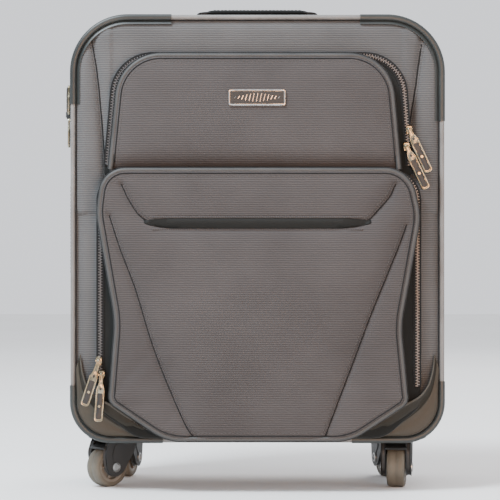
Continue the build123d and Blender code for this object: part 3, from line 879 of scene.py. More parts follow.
def build_corner_guards():
    """Smooth vinyl guards folded over the piping at the lid's four corners."""
    shape = Shape()
    count = len(CASE_LOOP)
    for start, end in GUARD_REACHES:
        first, last = case_index(*end), case_index(*start)
        if last < first:
            last += count
        loops = [guard_section(CASE_LOOP[i % count], CASE_OUT[i % count]) for i in range(first, last + 1)]
        shape.loft(loops)
        seam = [ring[GUARD_SEAM] + Vector((0, -0.15 * MM, 0)) for ring in loops]
        stitches(shape, seam, length=2.4 * MM, slot=1)
    keep(shape.object("front_guards", [GUARD, THREAD], 60), "lid", "trim_plastic", "front_corner_guards")


# ---- pockets ------------------------------------------------------------
def flat_points(*points):
    """X, Z places given in millimetres."""
    return [Vector((x * MM, z * MM)) for x, z in points]


def pocket_loop(points, radii):
    return outline(flat_points(*points), [r * MM for r in radii])


UPPER_FRONT = pocket_loop([(-158, 338), (152, 338), (140, 468), (-145, 468)], [4, 4, 46, 46])
UPPER_BASE = pocket_loop([(-166, 338), (168, 338), (158, 472), (-154, 472)], [4, 4, 46, 46])
LOWER_FRONT = pocket_loop([(-96, 58.5), (98, 58.5), (158, 98), (150, 180), (171, 296), (160, 345),
                           (-163, 345), (-169, 300), (-149, 185), (-156, 99)],
                          [60, 60, 8, 120, 60, 34, 34, 60, 120, 8])
LOWER_BASE = pocket_loop([(-130, 58), (136, 58), (175, 92), (175, 347), (-172, 347), (-172, 90)],
                         [30, 30, 12, 34, 34, 12])
UPPER_Y = case_front - 21 * MM
LOWER_Y = case_front - 30 * MM
UPPER_LEDGE = case_front - 9.45 * MM
LOWER_LEDGE = case_front - 13.5 * MM
POCKET_CORD = 2.6 * MM

DIAGONALS = [flat_points((-158, 297), (-146, 260), (-130, 218), (-114, 165), (-98, 122), (-77, 74),
                         (-68, 61)),
             flat_points((159, 287), (151, 265), (136, 228), (119, 186), (103, 143), (87, 101), (72, 61))]
SMILE = (flat_points((-145, 330), (-137, 313), (-125, 296), (-109, 286.5), (-88, 283), (-60, 282.4))
         + flat_points((0, 282.2), (60, 282.4), (88, 283.2), (114, 289), (130, 304), (141, 317), (147, 330)))
WELT_LOW, WELT_HIGH = 282.6 * MM, 294 * MM


def cast_out(loop, centre, point):
    """Where the ray from a centre through a point meets a loop."""
    way = point - centre
    best = point
    far = 0.0
    for a, b in zip(loop, loop[1:] + loop[:1]):
        edge = b - a
        cross = way.x * edge.y - way.y * edge.x
        if abs(cross) < 1e-12:
            continue
        gap = a - centre
        along_ray = (gap.x * edge.y - gap.y * edge.x) / cross
        along_edge = (gap.x * way.y - gap.y * way.x) / cross
        if -1e-6 <= along_edge <= 1 + 1e-6 and along_ray > far:
            far = along_ray
            best = centre + way * along_ray
    return best


def fill_loop(loop, spacing, y):
    """Even triangles inside a closed loop: points, and faces that index them, loop first."""
    count = len(loop)
    points = [p.copy() for p in loop]
    xs, zs = [p.x for p in loop], [p.y for p in loop]
    rise = spacing * math.sqrt(3) / 2
    row, z = 0, min(zs) + rise / 2
    while z < max(zs):
        x = min(xs) + (spacing / 2 if row % 2 else 0)
        while x < max(xs):
            p = Vector((x, z))
            if inside(p, loop):
                points.append(p)
            x += spacing
        z += rise
        row += 1
    border = points[:count]
    near = kd_of([Vector((p.x, p.y, 0)) for p in subdivide_run(border + [border[0]], spacing / 3)])
    kept = border + [p for p in points[count:] if near.find((p.x, p.y, 0))[2] > spacing * 0.62]
    edges = [(i, (i + 1) % count) for i in range(count)]
    _, _, faces, origins, _, _ = delaunay_2d_cdt(kept, edges, [], 1, 1e-7)
    home = [o[0] for o in origins]
    return [Vector((p.x, y, p.y)) for p in kept], [[home[i] for i in face] for face in faces]


def kd_of(points):
    tree = kdtree.KDTree(len(points))
    for i, p in enumerate(points):
        tree.insert(p, i)
    tree.balance()
    return tree


def seam_tree(runs):
    """Finds the nearest seam to a place on a pocket's face."""
    points = []
    for run in runs:
        points += [Vector((p.x, 0, p.y)) for p in subdivide_run(smooth_curve(run), 1 * MM)]
    return kd_of(points)


CLOTH_SPACING = 5.2 * MM


def build_pocket(name, front, base, y_front, y_ledge, seams, swell, dip=None):
    """A stuffed pocket: dark gusset with its zip ledge, and a front panel blown up by the
    cloth simulation, sewn down along its seams. dip(point) pushes the panel back. Returns
    the object and its front surface."""
    count = round(distances(front + front[:1])[-1] / CLOTH_SPACING)
    front = resample(front, count)
    centre = sum(front, Vector((0, 0))) / count
    reach = [cast_out(base, centre, p) for p in front]
    base = [q if (q - centre).length > (p - centre).length + 1.2 * MM else p + (p - centre).normalized() * 1.2 * MM
            for p, q in zip(front, reach)]
    def between(share):
        return [b.lerp(f, share) for b, f in zip(base, front)]
    outset = inset_loop(front, -0.9 * MM)
    rings = [(base, case_front + 1 * MM), (base, case_front - 3 * MM),
             (inset_loop(base, -0.5 * MM), y_ledge + 5 * MM),
             (inset_loop(base, 0.1 * MM), y_ledge + 1.6 * MM),
             (inset_loop(base, 0.9 * MM), y_ledge + 0.2 * MM),
             (between(0.5), y_ledge), (outset, y_ledge - 0.2 * MM),
             (outset, (y_ledge + y_front) / 2 + 1 * MM),
             (front, y_front + 4 * MM)]
    shape = Shape()
    rows = shape.loft([loop_at(loop, y) for loop, y in rings], caps=False, slot=1)
    rows.append([shape.vert(p) for p in loop_at(inset_loop(front, 0.9 * MM), y_front + 1.6 * MM)])
    shape.bridge(rows[-2], rows[-1])
    cap(shape, rows[0], 1)
    sheet, faces = fill_loop(inset_loop(front, 3.6 * MM), CLOTH_SPACING, y_front)
    first = len(shape.verts)
    panel = [shape.vert(p) for p in sheet]
    shape.bridge(rows[-1], panel[:count])
    for face in faces:
        shape.face([panel[i] for i in face])
    obj = shape.object(name, [RIB_POCKET, GUSSET], 80)
    tree = seam_tree(seams) if seams else None

    cloth_swell(obj, first, tree, swell)
    refine(obj)
    for v in obj.data.vertices:
        if v.co.y > y_front + 1.2 * MM:
            continue
        if tree:
            gap = tree.find((v.co.x, 0, v.co.z))[2]
            v.co.y += 2.6 * MM * math.exp(-(gap / (2.6 * MM)) ** 2)
            v.co.y += 1.5 * MM * math.exp(-(gap / (11 * MM)) ** 2)
        if dip:
            v.co.y += dip(v.co)
    tidy_mesh(obj, 80)
    mesh = obj.data
    surface = BVHTree.FromPolygons([v.co for v in mesh.vertices], [tuple(p.vertices) for p in mesh.polygons])
    return obj, surface


CLOTH_STEPS = 20
PRESSURE = 4.5


def cloth_swell(obj, first_free, tree, swell):
    """Runs the cloth simulation with air pressure, then caps how far any point went."""
    rest = [v.co.copy() for v in obj.data.vertices]
    group = obj.vertex_groups.new(name="sewn")
    group.add(list(range(first_free)), 1.0, "REPLACE")
    if tree:
        for v in obj.data.vertices[first_free:]:
            gap = tree.find((v.co.x, 0, v.co.z))[2]
            if gap < 3.2 * MM:
                group.add([v.index], 0.35, "REPLACE")
    cloth = obj.modifiers.new("cloth", "CLOTH")
    settings = cloth.settings
    settings.quality = 5
    settings.mass = 0.25
    settings.air_damping = 4
    settings.tension_stiffness = 12
    settings.compression_stiffness = 12
    settings.shear_stiffness = 6
    settings.bending_stiffness = 1.2
    settings.use_pressure = True
    settings.uniform_pressure_force = PRESSURE
    settings.vertex_group_mass = "sewn"
    settings.effector_weights.gravity = 0
    cloth.collision_settings.use_self_collision = False
    scene = bpy.context.scene
    for step in range(1, CLOTH_STEPS + 1):
        scene.frame_set(step)
    graph = bpy.context.evaluated_depsgraph_get()
    blown = [v.co.copy() for v in obj.evaluated_get(graph).data.vertices]
    obj.modifiers.clear()
    scene.frame_set(1)
    for v, start, end in zip(obj.data.vertices, rest, blown):
        move = end - start
        far = move.length
        if far > 1e-7:
            v.co = start + move * (swell * math.tanh(far / swell) / far)
    obj.vertex_groups.clear()


def on_face(surface, x, z, lift=0.0):
    """Point on a pocket's front at X, Z, lifted off it."""
    hit, normal, _, _ = surface.ray_cast(Vector((x, -0.4, z)), Vector((0, 1, 0)))
    if hit is None:
        return Vector((x, case_front, z))
    if normal.y > 0:
        normal = -normal
    return hit + normal * lift


def run_on_face(surface, run, lift, step=2 * MM):
    return [on_face(surface, p.x, p.y, lift) for p in subdivide_run(run, step)]


def shift_run(run, amount):
    """The same flat run moved sideways."""
    out = []
    for i, p in enumerate(run):
        way = (run[min(i + 1, len(run) - 1)] - run[max(i - 1, 0)]).normalized()
        out.append(p + Vector((way.y, -way.x)) * amount)
    return out


def above(loop, low_z):
    """Part of a closed loop above a height, as one open run."""
    start = min(range(len(loop)), key=lambda i: loop[i].y + abs(loop[i].x) * 0.01)
    turned = loop[start:] + loop[:start]
    return [p for p in turned if p.y > low_z]


def build_pockets():
    def tuck(p):
        return 8.5 * MM * math.exp(-((p.z - 0.342) / (15 * MM)) ** 2)
    upper, upper_face = build_pocket("upper_pocket_bag", UPPER_FRONT, UPPER_BASE, UPPER_Y, UPPER_LEDGE, [],
                                     8.5 * MM, tuck)
    keep(upper, "lid", "pocket_fabric", "upper_pocket")
    lower, lower_face = build_pocket("lower_pocket_bag", LOWER_FRONT, LOWER_BASE, LOWER_Y, LOWER_LEDGE,
                                     DIAGONALS + [SMILE], 9.5 * MM)
    keep(lower, "lid", "pocket_fabric", "lower_pocket")

    seams = Shape()
    for run in DIAGONALS + [SMILE]:
        line = smooth_curve(run)
        side = 1 if run is DIAGONALS[1] else -1
        seams.tube(run_on_face(lower_face, line, -0.1 * MM), 0.75 * MM, 8, slot=1)
        seams.tube(run_on_face(lower_face, shift_run(line, 1.9 * MM * side), -0.1 * MM), 0.7 * MM, 8)
        stitches(seams, run_on_face(lower_face, shift_run(line, 4.4 * MM * side), 0.1 * MM), slot=2)
    keep(seams.object("pocket_seams", [RIB_POCKET, TAPE, THREAD], 60), "lid", "trim_fabric")

    welt = Shape()
    rows = []
    length = 121 * MM
    steps = 62
    for share, lift in ((0, -0.4), (0.04, 0.9), (0.5, 1.3), (0.93, 1.0), (1, -0.4)):
        row = []
        for i in range(steps + 1):
            x = -length + 2 * length * i / steps
            taper = min(1.0, (length - abs(x)) / (26 * MM)) ** 0.6
            low = WELT_LOW + 0.4 * MM + (1 - taper) * 5.5 * MM
            high = WELT_HIGH - (1 - taper) * 2.6 * MM
            z = low + (high - low) * share
            row.append(welt.vert(on_face(lower_face, x, z, lift * MM), (x, z, 0)))
        rows.append(row)
    welt.skin(rows, False)
    strip = welt.object("welt_strip", [WELT], 60)
    refine(strip, 0.6 * MM, levels=0)
    keep(strip, "lid", "trim_fabric")
    edges = Shape()
    for z in (WELT_HIGH + 1.1 * MM, WELT_LOW - 0.9 * MM):
        line = [Vector((x * MM, z)) for x in range(-112, 113, 4)]
        edges.tube(run_on_face(lower_face, line, 0.25 * MM), 0.85 * MM, 8)
    stitches(edges,
             run_on_face(lower_face, [Vector((x * MM, WELT_HIGH + 3.4 * MM)) for x in range(-108, 109, 4)],
                                0.1 * MM), slot=1)
    keep(edges.object("welt_edges", [RIB_POCKET, THREAD], 60), "lid", "trim_fabric")

    cords = Shape()
    cords.tube(loop_at(above(UPPER_FRONT, 0.344), UPPER_Y + 4 * MM), POCKET_CORD, 12)
    cords.tube(loop_at(LOWER_FRONT, LOWER_Y + 4 * MM), POCKET_CORD, 12, closed=True)
    for front, face, low_z in ((UPPER_FRONT, upper_face, 0.352), (LOWER_FRONT, lower_face, 0.0)):
        border = front + [front[0]]
        for inset, seam in ((3.3 * MM, True), (6.4 * MM, False)):
            inner = [p for p in inset_loop(front, inset) if distance_to_run(p, border) > inset * 0.97]
            if low_z:
                inner = above(inner, low_z)
            run = run_on_face(face, inner + ([] if low_z else [inner[0]]), 0.0)
            if seam:
                cords.tube(run, 0.8 * MM, 8, slot=2)
            else:
                stitches(cords, run, slot=1)
    outer = inset_loop(LOWER_FRONT, -2.6 * MM)
    cords.tube(loop_at(outer, LOWER_Y + 5.6 * MM), 1.0 * MM, 8, closed=True, slot=2)
    outer = above(inset_loop(UPPER_FRONT, -2.6 * MM), 0.344)
    cords.tube(loop_at(outer, UPPER_Y + 5.6 * MM), 1.0 * MM, 8, slot=2)
    keep(cords.object("pocket_piping_cords", [PIPING_POCKET, THREAD, TAPE], 60), "lid", "piping",
         "pocket_piping")
    return upper_face, lower_face


# ---- lid trim -----------------------------------------------------------
SIDE_SEAMS = [flat_points((-180, 493), (-176, 470), (-172.5, 447), (-169, 411), (-166, 373), (-163, 330)),
              flat_points((179, 492), (174, 462), (170, 432), (165, 400), (160, 360), (158, 330))]
SIDE_TREE = seam_tree(SIDE_SEAMS)
EDGE_TREE = kd_of(loop_at(subdivide_run(inset_loop(CASE_LOOP, 4.6 * MM), 1 * MM), 0))


def build_lid_seams():
    """Dark seam thread and top stitching where the side panels join the lid's middle."""
    shape = Shape()
    for run, side in zip(SIDE_SEAMS, (1, -1)):
        line = smooth_curve(run)
        def seat(points, lift):
            return [Vector((p.x, lid_face_y(p) - lift, p.y)) for p in points]
        shape.tube(seat(line, 0.5 * MM), 0.85 * MM, 8)
        stitches(shape, seat(shift_run(line, 2.6 * MM * side), 0.2 * MM), slot=1)
    keep(shape.object("lid_seams", [TAPE, THREAD], 60), "lid", "trim_fabric")


PATCH_TOP = flat_points((191, 147), (188.5, 131), (183, 115), (173, 103), (158, 95), (143, 84.5),
                        (128, 74.5), (114, 66.5), (98, 60.6))
PATCH_FOLD = flat_points((193.2, 140), (191, 122), (186.5, 105), (178, 93), (166, 82), (153, 73),
                         (140, 66), (122, 61.4), (100, 58.6))
PATCH_POINTS = 34


def build_corner_patches(pocket_face):
    """Satin patches over the lid's two lower corners: steep from the pocket, then flat. The steep band takes a
    darker copy of the satin as painted shadow under the pocket.
    """
    for name, side, lift in (("corner_patch_left", -1, 2.6), ("corner_patch_right", 1, 3.6)):
        low = [p for p in CASE_LOOP if p.x > 0.092 and p.y < 0.137]
        low = [p - (p - Vector((0.15, 0.1))).normalized() * 5.4 * MM for p in low]
        if low[0].y < low[-1].y:
            low = low[::-1]
        top, fold, low = (resample(run, PATCH_POINTS, False) for run in
                          (smooth_curve(PATCH_TOP, 4 * MM), smooth_curve(PATCH_FOLD, 4 * MM), low))
        shape = Shape()
        rows = []
        for share, a, b in ((0.0, top, fold), (0.07, top, fold), (0.33, top, fold), (0.66, top, fold),
                            (1.0, top, fold), (0.35, fold, low), (0.7, fold, low), (1.0, fold, low)):
            rows.append([])
            for i, (p, q) in enumerate(zip(a, b)):
                t = i / (PATCH_POINTS - 1)
                rise = (math.sin(math.pi * min(1.0, max(0.0, (t - 0.04) / 0.9))) ** 0.75) * (15 + lift) * MM
                drop = share if a is top else 1.0
                place = p.lerp(q, share)
                y = case_front - 1.4 * MM - rise * (1 - drop) + (1.1 * MM * share if a is fold else 0)
                y -= 1.2 * MM * math.sin(math.pi * drop) * rise / (16 * MM)
                if a is fold:
                    y -= 2.4 * MM * math.sin(math.pi * min(1.0, share * 0.95)) * rise / (16 * MM)
                wall = on_face(pocket_face, place.x * side, place.y, 2.6 * MM).y
                if a is fold or share > 0:
                    y = min(y, wall) if y - wall < 9 * MM else y
                rows[-1].append(shape.vert((place.x * side, y, place.y), (place.x, place.y, 0)))
        # Rows 1 to 3 of the steep band get the darker satin: painted shadow under the pocket's edge.
        for k, (a, b) in enumerate(zip(rows, rows[1:])):
            shape.bridge(a, b, False, 1 if 0 < k < 4 else 0)
        patch = shape.object(name, [PATCH, PATCH_PAINTED_SHADOW], 80)
        refine(patch, 0.9 * MM, offset=0)
        keep(patch, "lid", "trim_fabric")
        edge = Shape()
        edge.tube([shape.verts[i] + Vector((0, -0.6 * MM, 0)) for i in rows[0]], 0.8 * MM, 8)
        stitches(edge, [shape.verts[i] + Vector((0, -0.65 * MM, 0)) for i in rows[1]], slot=1)
        keep(edge.object(name + "_edge", [PATCH, THREAD], 60), "lid", "trim_fabric")


# ---- zips ---------------------------------------------------------------
def zip_teeth(shape, path, outward, width, pitch, slot=0, half=0):
    """Coil teeth along a path. outward is the chain's facing direction at each point.
    half is 0 for both rows of a closed chain, or -1 or 1 for one row alone."""
    total = distances(path)
    j = 0
    for k in range(int(total[-1] / pitch)):
        want = (k + 0.5) * pitch
        while j < len(total) - 2 and total[j + 1] < want:
            j += 1
        t = (want - total[j]) / max(1e-9, total[j + 1] - total[j])
        place = path[j].lerp(path[j + 1], t)
        along = (path[j + 1] - path[j]).normalized()
        out = outward[j].lerp(outward[j + 1], t).normalized()
        across = along.cross(out).normalized()
        side = half or (1 if k % 2 else -1)
        turn = Matrix((across, along, out)).transposed()
        shape.brick(place + across * side * width * 0.17, (width * 0.62, pitch * 0.6, 1.3 * MM), turn, 0,
                    slot)


def ribbon(shape, path, outward, width, thick):
    """Flat tape along a path, its wide face turned outward."""
    rows = []
    for i, (p, length) in enumerate(zip(path, distances(path))):
        along = (path[min(i + 1, len(path) - 1)] - path[max(i - 1, 0)]).normalized()
        across = along.cross(outward[i]).normalized()
        corners = [(-0.5, -0.5), (0, -0.62), (0.5, -0.5), (0.5, 0.5), (0, 0.62), (-0.5, 0.5)]
        rows.append([shape.vert(p + across * (a * width) + outward[i] * b * thick, (a * width, length, 0))
                     for a, b in corners])
    shape.skin(rows, ends=True)


def build_pocket_zips():
    shape = Shape()
    for base, ledge, low_z in ((UPPER_BASE, UPPER_LEDGE, 0.350), (LOWER_BASE, LOWER_LEDGE, 0.112)):
        path = loop_at(shift_run(above(resample(base, 400), low_z), -3.6 * MM), ledge - 0.5 * MM)
        out = [Vector((0, -1, 0))] * len(path)
        ribbon(shape, path, out, 8.2 * MM, 0.7 * MM)
        zip_teeth(shape, [p + Vector((0, -0.7 * MM, 0)) for p in path], out, 4.4 * MM, 1.5 * MM, slot=1)
    keep(shape.object("pocket_zip_chains", [TAPE, ZIP_TOOTH], 50), "lid", "zip_tape", "pocket_zips")


def build_main_zip():
    """The zip between lid and body, open on the hinge side, in its two halves."""
    count = len(CASE_LOOP)
    first = case_index(case_side, 0.437)
    last = case_index(case_side, 0.114) + count
    for name, body, node, side in (("main_zip_lid_half", "lid", "main_zip_lid_side", 1),
                                   ("main_zip_body_half", "root", "main_zip_body_side", -1)):
        shape = Shape()
        path, out = [], []
        for i in range(first, last + 1):
            p, n = CASE_LOOP[i % count], CASE_OUT[i % count]
            q = p - n * CORD_INSET
            path.append(Vector((q.x, split_y - side * 2.9 * MM, q.y)))
            out.append(Vector((n.x, 0, n.y)))
        ribbon(shape, path, out, 5.4 * MM, 0.7 * MM)
        rows = [Vector((p.x, split_y - side * 0.7 * MM, p.z)) + o * 0.5 * MM for p, o in zip(path, out)]
        zip_teeth(shape, rows, out, 3.4 * MM, 1.9 * MM, slot=1, half=side)
        keep(shape.object(name, [TAPE, ZIP_TOOTH], 50), body, "zip_tape", node)


HINGE_LOW, HINGE_HIGH, HINGE_STEPS = 0.116, 0.435, 60


def build_hinge_fabric():
    """Wide tape that joins lid and body along the hinge."""
    shape = Shape()
    ys = [split_y + d * MM for d in (9, 6, 4, 3, 2, 1, 0, -1, -2, -3, -4, -6, -9)]
    heights = [HINGE_LOW + i * (HINGE_HIGH - HINGE_LOW) / HINGE_STEPS for i in range(HINGE_STEPS + 1)]
    for x in (case_side - 1.6 * MM, case_side - 2.5 * MM):
        shape.skin([[shape.vert((x, y, z), (y, z, 0)) for z in heights] for y in ys], False)
    n = len(heights)
    inner = n * len(ys)
    for r in range(len(ys) - 1):
        for c in (0, n - 1):
            a, b = r * n + c, (r + 1) * n + c
            shape.face((a, b, b + inner, a + inner))
    for r in (0, len(ys) - 1):
        for c in range(n - 1):
            a = r * n + c
            shape.face((a, a + 1, a + 1 + inner, a + inner))
    obj = shape.object("hinge_tape", [GUSSET], 50)
    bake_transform(obj)


# ---- sliders and pulls --------------------------------------------------
BAR_HEIGHT = 5.7 * MM
# Each zip slider's lean in degrees, and its pull's length and neck in millimetres.
ZIPS = {"upper_pocket_1": (25, 50, 8), "upper_pocket_2": (25, 50, 8), "lower_pocket_1": (-18, 50, 14),
        "lower_pocket_2": (-4, 50, 12), "main_1": (0, 30, 8), "main_2": (0, 30, 8)}


def turned(shape, spot, turn):
    """Turns a shape made at the origin and moves it to its spot."""
    shape.verts = [spot + turn @ v for v in shape.verts]
    return shape


def build_slider(name, tilt):
    low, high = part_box(name + "_slider")
    main = name.startswith("main")
    turn = Matrix.Rotation(math.radians(-90), 3, "Z") if main else Matrix.Identity(3)
    spot = Vector((high.x if main else (low.x + high.x) / 2, split_y if main else high.y,
                   (low.z + high.z) / 2))
    shape = Shape()
    for y_low, y_high, half, tall, bevel in ((-1.1, 0, 3.9, 4.9, 0.35), (-3.0, -1.6, 3.7, 4.6, 0.5)):
        loop = outline(flat_points((-half * 0.72, -tall), (half * 0.72, -tall), (half, tall), (-half, tall)),
                       [1.4 * MM, 1.4 * MM, 2.2 * MM, 2.2 * MM], 0.8 * MM)
        shape.prism(loop, y_low * MM, y_high * MM, bevel * MM)
    shape.prism(outline(flat_points((-0.9, 0), (0.9, 0), (0.9, 4.2), (-0.9, 4.2)), [0.4 * MM] * 4, 0.4 * MM),
                -1.8 * MM, -0.9 * MM)
    cocked = Matrix.Rotation(math.radians(-tilt), 3, "Y")
    ears = Shape()
    for x in (-3.0, 3.0):
        path = [Vector((x, -2.4, 0)), Vector((x, -4.2, 0)), Vector((x, -5.7, 0)), Vector((x * 0.94, -6.5, 0))]
        ears.tube([p * MM for p in path], 0.95 * MM, 10)
    ears.tube([Vector((x, -5.7, 0)) * MM for x in (-3.0, -1.5, 0, 1.5, 3.0)], 0.85 * MM, 10)
    shape.absorb(ears, cocked)
    obj = turned(shape, spot, turn).object(name + "_slider_body_shown", [CHAMPAGNE], 45)
    keep(obj, name + "_slider_body", "pull_metal", name + "_slider")
    return spot, turn, cocked


def disc(radius, z, count):
    """Small round outline at a height, in millimetres. radius is half its width and half its height."""
    angles = [math.tau * k / count for k in range(count)]
    return [Vector((radius[0] * MM * math.cos(a), z * MM + radius[1] * MM * math.sin(a))) for a in angles]


def build_pull(name, length, neck, spot, turn, cocked):
    half = 4.8
    corners = flat_points((-2.2, 2.2), (-2.6, -neck + 3), (-half, -neck - 4), (-half, -length),
                          (half, -length),
                          (half, -neck - 4), (2.6, -neck + 3), (2.2, 2.2))
    radii = [r * MM for r in (1.8, 3, 4, 3.4, 3.4, 4, 3, 1.8)]
    loop = outline(corners, radii, 1.2 * MM)
    shape = Shape()
    y = -BAR_HEIGHT
    shape.prism(loop, y - 0.55 * MM, y + 1.0 * MM, 0.4 * MM)
    shape.tube(loop_at(inset_loop(loop, 0.85 * MM), y - 0.6 * MM), 0.8 * MM, 8, closed=True)
    panel_top, panel_foot = -neck - 7.5, -length + 2.6
    panel = outline(flat_points((-2.9, panel_top), (-2.9, panel_foot), (2.9, panel_foot), (2.9, panel_top)),
                    [1.6 * MM] * 4, 0.9 * MM)
    shape.prism(panel, y - 0.85 * MM, y - 0.3 * MM, 0.12 * MM, slot=1)
    shape.prism(disc((1.7, 1.7), (panel_top + panel_foot) / 2, 20), y - 1.35 * MM, y - 0.6 * MM, 0.25 * MM)
    shape.prism(disc((1.15, 1.6), -(neck + 2.6), 18), y - 1.05 * MM, y - 0.3 * MM, 0.1 * MM, slot=2)
    if length < 40:
        shape.tube([Vector((0, y - 0.8 * MM, z * MM)) for z in (-neck - 9, -length + 4)], 0.35 * MM, 6)
    obj = turned(shape, spot, turn @ cocked).object(name + "_pull_shown", [CHAMPAGNE, ENAMEL, PLASTIC], 45)
    keep(obj, name + "_pull_body", "pull_metal", name + "_pull")


def build_badge(face):
    """Small framed badge with a ribbed dark field, no lettering."""
    low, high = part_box("badge")
    x, z = (low.x + high.x) / 2, (low.z + high.z) / 2
    corners = rectangle(x - 30.5 * MM, z - 8.6 * MM, x + 30.5 * MM, z + 8.6 * MM)
    y = min(on_face(face, x + dx, z + dz).y for dx in (-0.028, 0, 0.028) for dz in (-0.008, 0, 0.008))
    plate = outline(corners, [2.2 * MM] * 4, 1.2 * MM)
    shape = Shape()
    shape.prism(plate, y - 1.3 * MM, y + 1.6 * MM, 0.4 * MM)
    shape.tube(loop_at(inset_loop(plate, 0.9 * MM), y - 1.3 * MM), 0.85 * MM, 8, closed=True)
    shape.prism(inset_loop(plate, 1.9 * MM), y - 1.5 * MM, y - 1.0 * MM, 0.1 * MM, slot=1)
    for k in range(-6, 7):
        height = 2.6 + 1.9 * math.cos(k * math.pi / 7)
        path = [Vector((x + (k * 3.9 + s * 0.9) * MM, y - 1.6 * MM, z + s * height * MM))
                for s in (-1, -0.5, 0, 0.5, 1)]
        shape.tube(path, 0.5 * MM, 6)
    keep(shape.object("badge_plate", [CHROME, ENAMEL], 45), "lid", "badge_metal", "badge")


# ---- casters ------------------------------------------------------------
TRAIL = 14 * MM
WHEEL_RADIUS = 22 * MM
CASTERS = ("front_left", "front_right", "rear_left", "rear_right")


def build_caster(place):
    joints = {j["name"]: j for j in frame["joints"]}
    stem = Vector(joints["caster_swivel_" + place]["pos_m"])
    hub = Vector(joints["caster_roll_" + place]["pos_m"])
    spot = Vector((stem.x, stem.y, 0))
    turn = Matrix.Rotation(math.atan2(hub.y - stem.y, hub.x - stem.x), 3, "Z")
    centre = Vector((TRAIL, 0, WHEEL_RADIUS))

    fork = Shape()
    leg = outline(flat_points((-10, 38), (-12.5, 50.6), (22, 50.6), (27, 38), (24, 18), (14, 11.5), (5, 17)),
                  [r * MM for r in (14, 2, 3, 12, 9, 8, 10)], 1.6 * MM)
    for y_low, y_high in ((10.8, 16.4), (-16.4, -10.8)):
        fork.prism(leg, y_low * MM, y_high * MM, 1.3 * MM)
    hood = []
    for radius, angles in ((26.2, range(56, 163, 5)), (23.4, range(161, 55, -5))):
        hood += [Vector((TRAIL + radius * MM * math.cos(math.radians(a)),
                         WHEEL_RADIUS + radius * MM * math.sin(math.radians(a)))) for a in angles]
    fork.prism(hood, -12 * MM, 12 * MM, 0.6 * MM)
    fork.lathe([(0.1 * MM, 44.8 * MM), (13.5 * MM, 45.2 * MM), (15.6 * MM, 47.5 * MM), (15.6 * MM, 50 * MM),
                (14.6 * MM, 50.9 * MM), (0.1 * MM, 50.9 * MM)], (0, 0, 0), (0, 0, 1), 40)
    for side in (-1, 1):
        rib = outline(flat_points((2, 36), (6, 47), (15, 47), (19, 36), (17, 26), (11, 26)), [3 * MM] * 6,
                      1.5 * MM)
        fork.prism(rib, (16.1 if side > 0 else -17.1) * MM, (17.1 if side > 0 else -16.1) * MM, 0.4 * MM)
        fork.lathe([(0.1 * MM, 16.2 * MM), (5.6 * MM, 16.2 * MM), (5.2 * MM, 17.6 * MM),
                    (3.6 * MM, 17.9 * MM),
                    (3.2 * MM, 17.2 * MM), (0.1 * MM, 17.2 * MM)], centre, (0, side, 0), 28, slot=1)
    obj = turned(fork, spot, turn).object("caster_fork_shown_" + place, [PLASTIC, STEEL], 38)
    keep(obj, "swivel_" + place, "fork_plastic", "caster_fork_" + place)

    wheel = Shape()
    profile = [(2.7, -9.6), (6.2, -9.6), (6.8, -8.8), (6.8, -6.2), (12.6, -5.6), (13.4, -8.6), (14.2, -9.2),
               (16.9, -9.2), (16.9, 9.2), (14.2, 9.2), (13.4, 8.6), (12.6, 5.6), (6.8, 6.2), (6.8, 8.8),
               (6.2, 9.6), (2.7, 9.6)]
    wheel.lathe([(r * MM, h * MM) for r, h in profile], centre, (0, 1, 0), 56)
    for k in range(5):
        a = math.tau * k / 5
        spin = Matrix.Rotation(a, 3, "Y")
        for y in (-7.2, 7.2):
            wheel.brick(centre + spin @ Vector((9.8 * MM, y * MM, 0)), (7.6 * MM, 2.6 * MM, 2.6 * MM), spin,
                        0.6 * MM)
    obj = turned(wheel, spot, turn).object("caster_wheel_shown_" + place, [WHEEL], 38)
    keep(obj, "spin_" + place, "wheel_plastic", "caster_wheel_" + place)

    tyre = Shape()
    profile = [(16.8, -9.7), (19.4, -9.8), (20.9, -9.0), (21.7, -7.2), (21.95, -4.6), (21.95, -1.2),
               (21.5, -0.5),
               (21.5, 0.5), (21.95, 1.2), (21.95, 4.6), (21.7, 7.2), (20.9, 9.0), (19.4, 9.8), (16.8, 9.7)]
    tyre.lathe([(r * MM, h * MM) for r, h in profile], centre, (0, 1, 0), 72)
    obj = turned(tyre, spot, turn).object("caster_tyre_shown_" + place, [TYRE], 50)
    keep(obj, "spin_" + place, "tyre_rubber", "caster_tyre_" + place)
    return spot


def rounded_rect(half_x, half_y, radius, arc_points=8):
    """Closed loop of a rounded rectangle, always with the same number of points."""
    points = []
    for k, (sx, sy) in enumerate(((1, 1), (-1, 1), (-1, -1), (1, -1))):
        for i in range(arc_points):
            a = math.pi / 2 * (k + i / (arc_points - 1))
            points.append(Vector((sx * (half_x - radius) + radius * math.cos(a),
                                  sy * (half_y - radius) + radius * math.sin(a))))
    return points


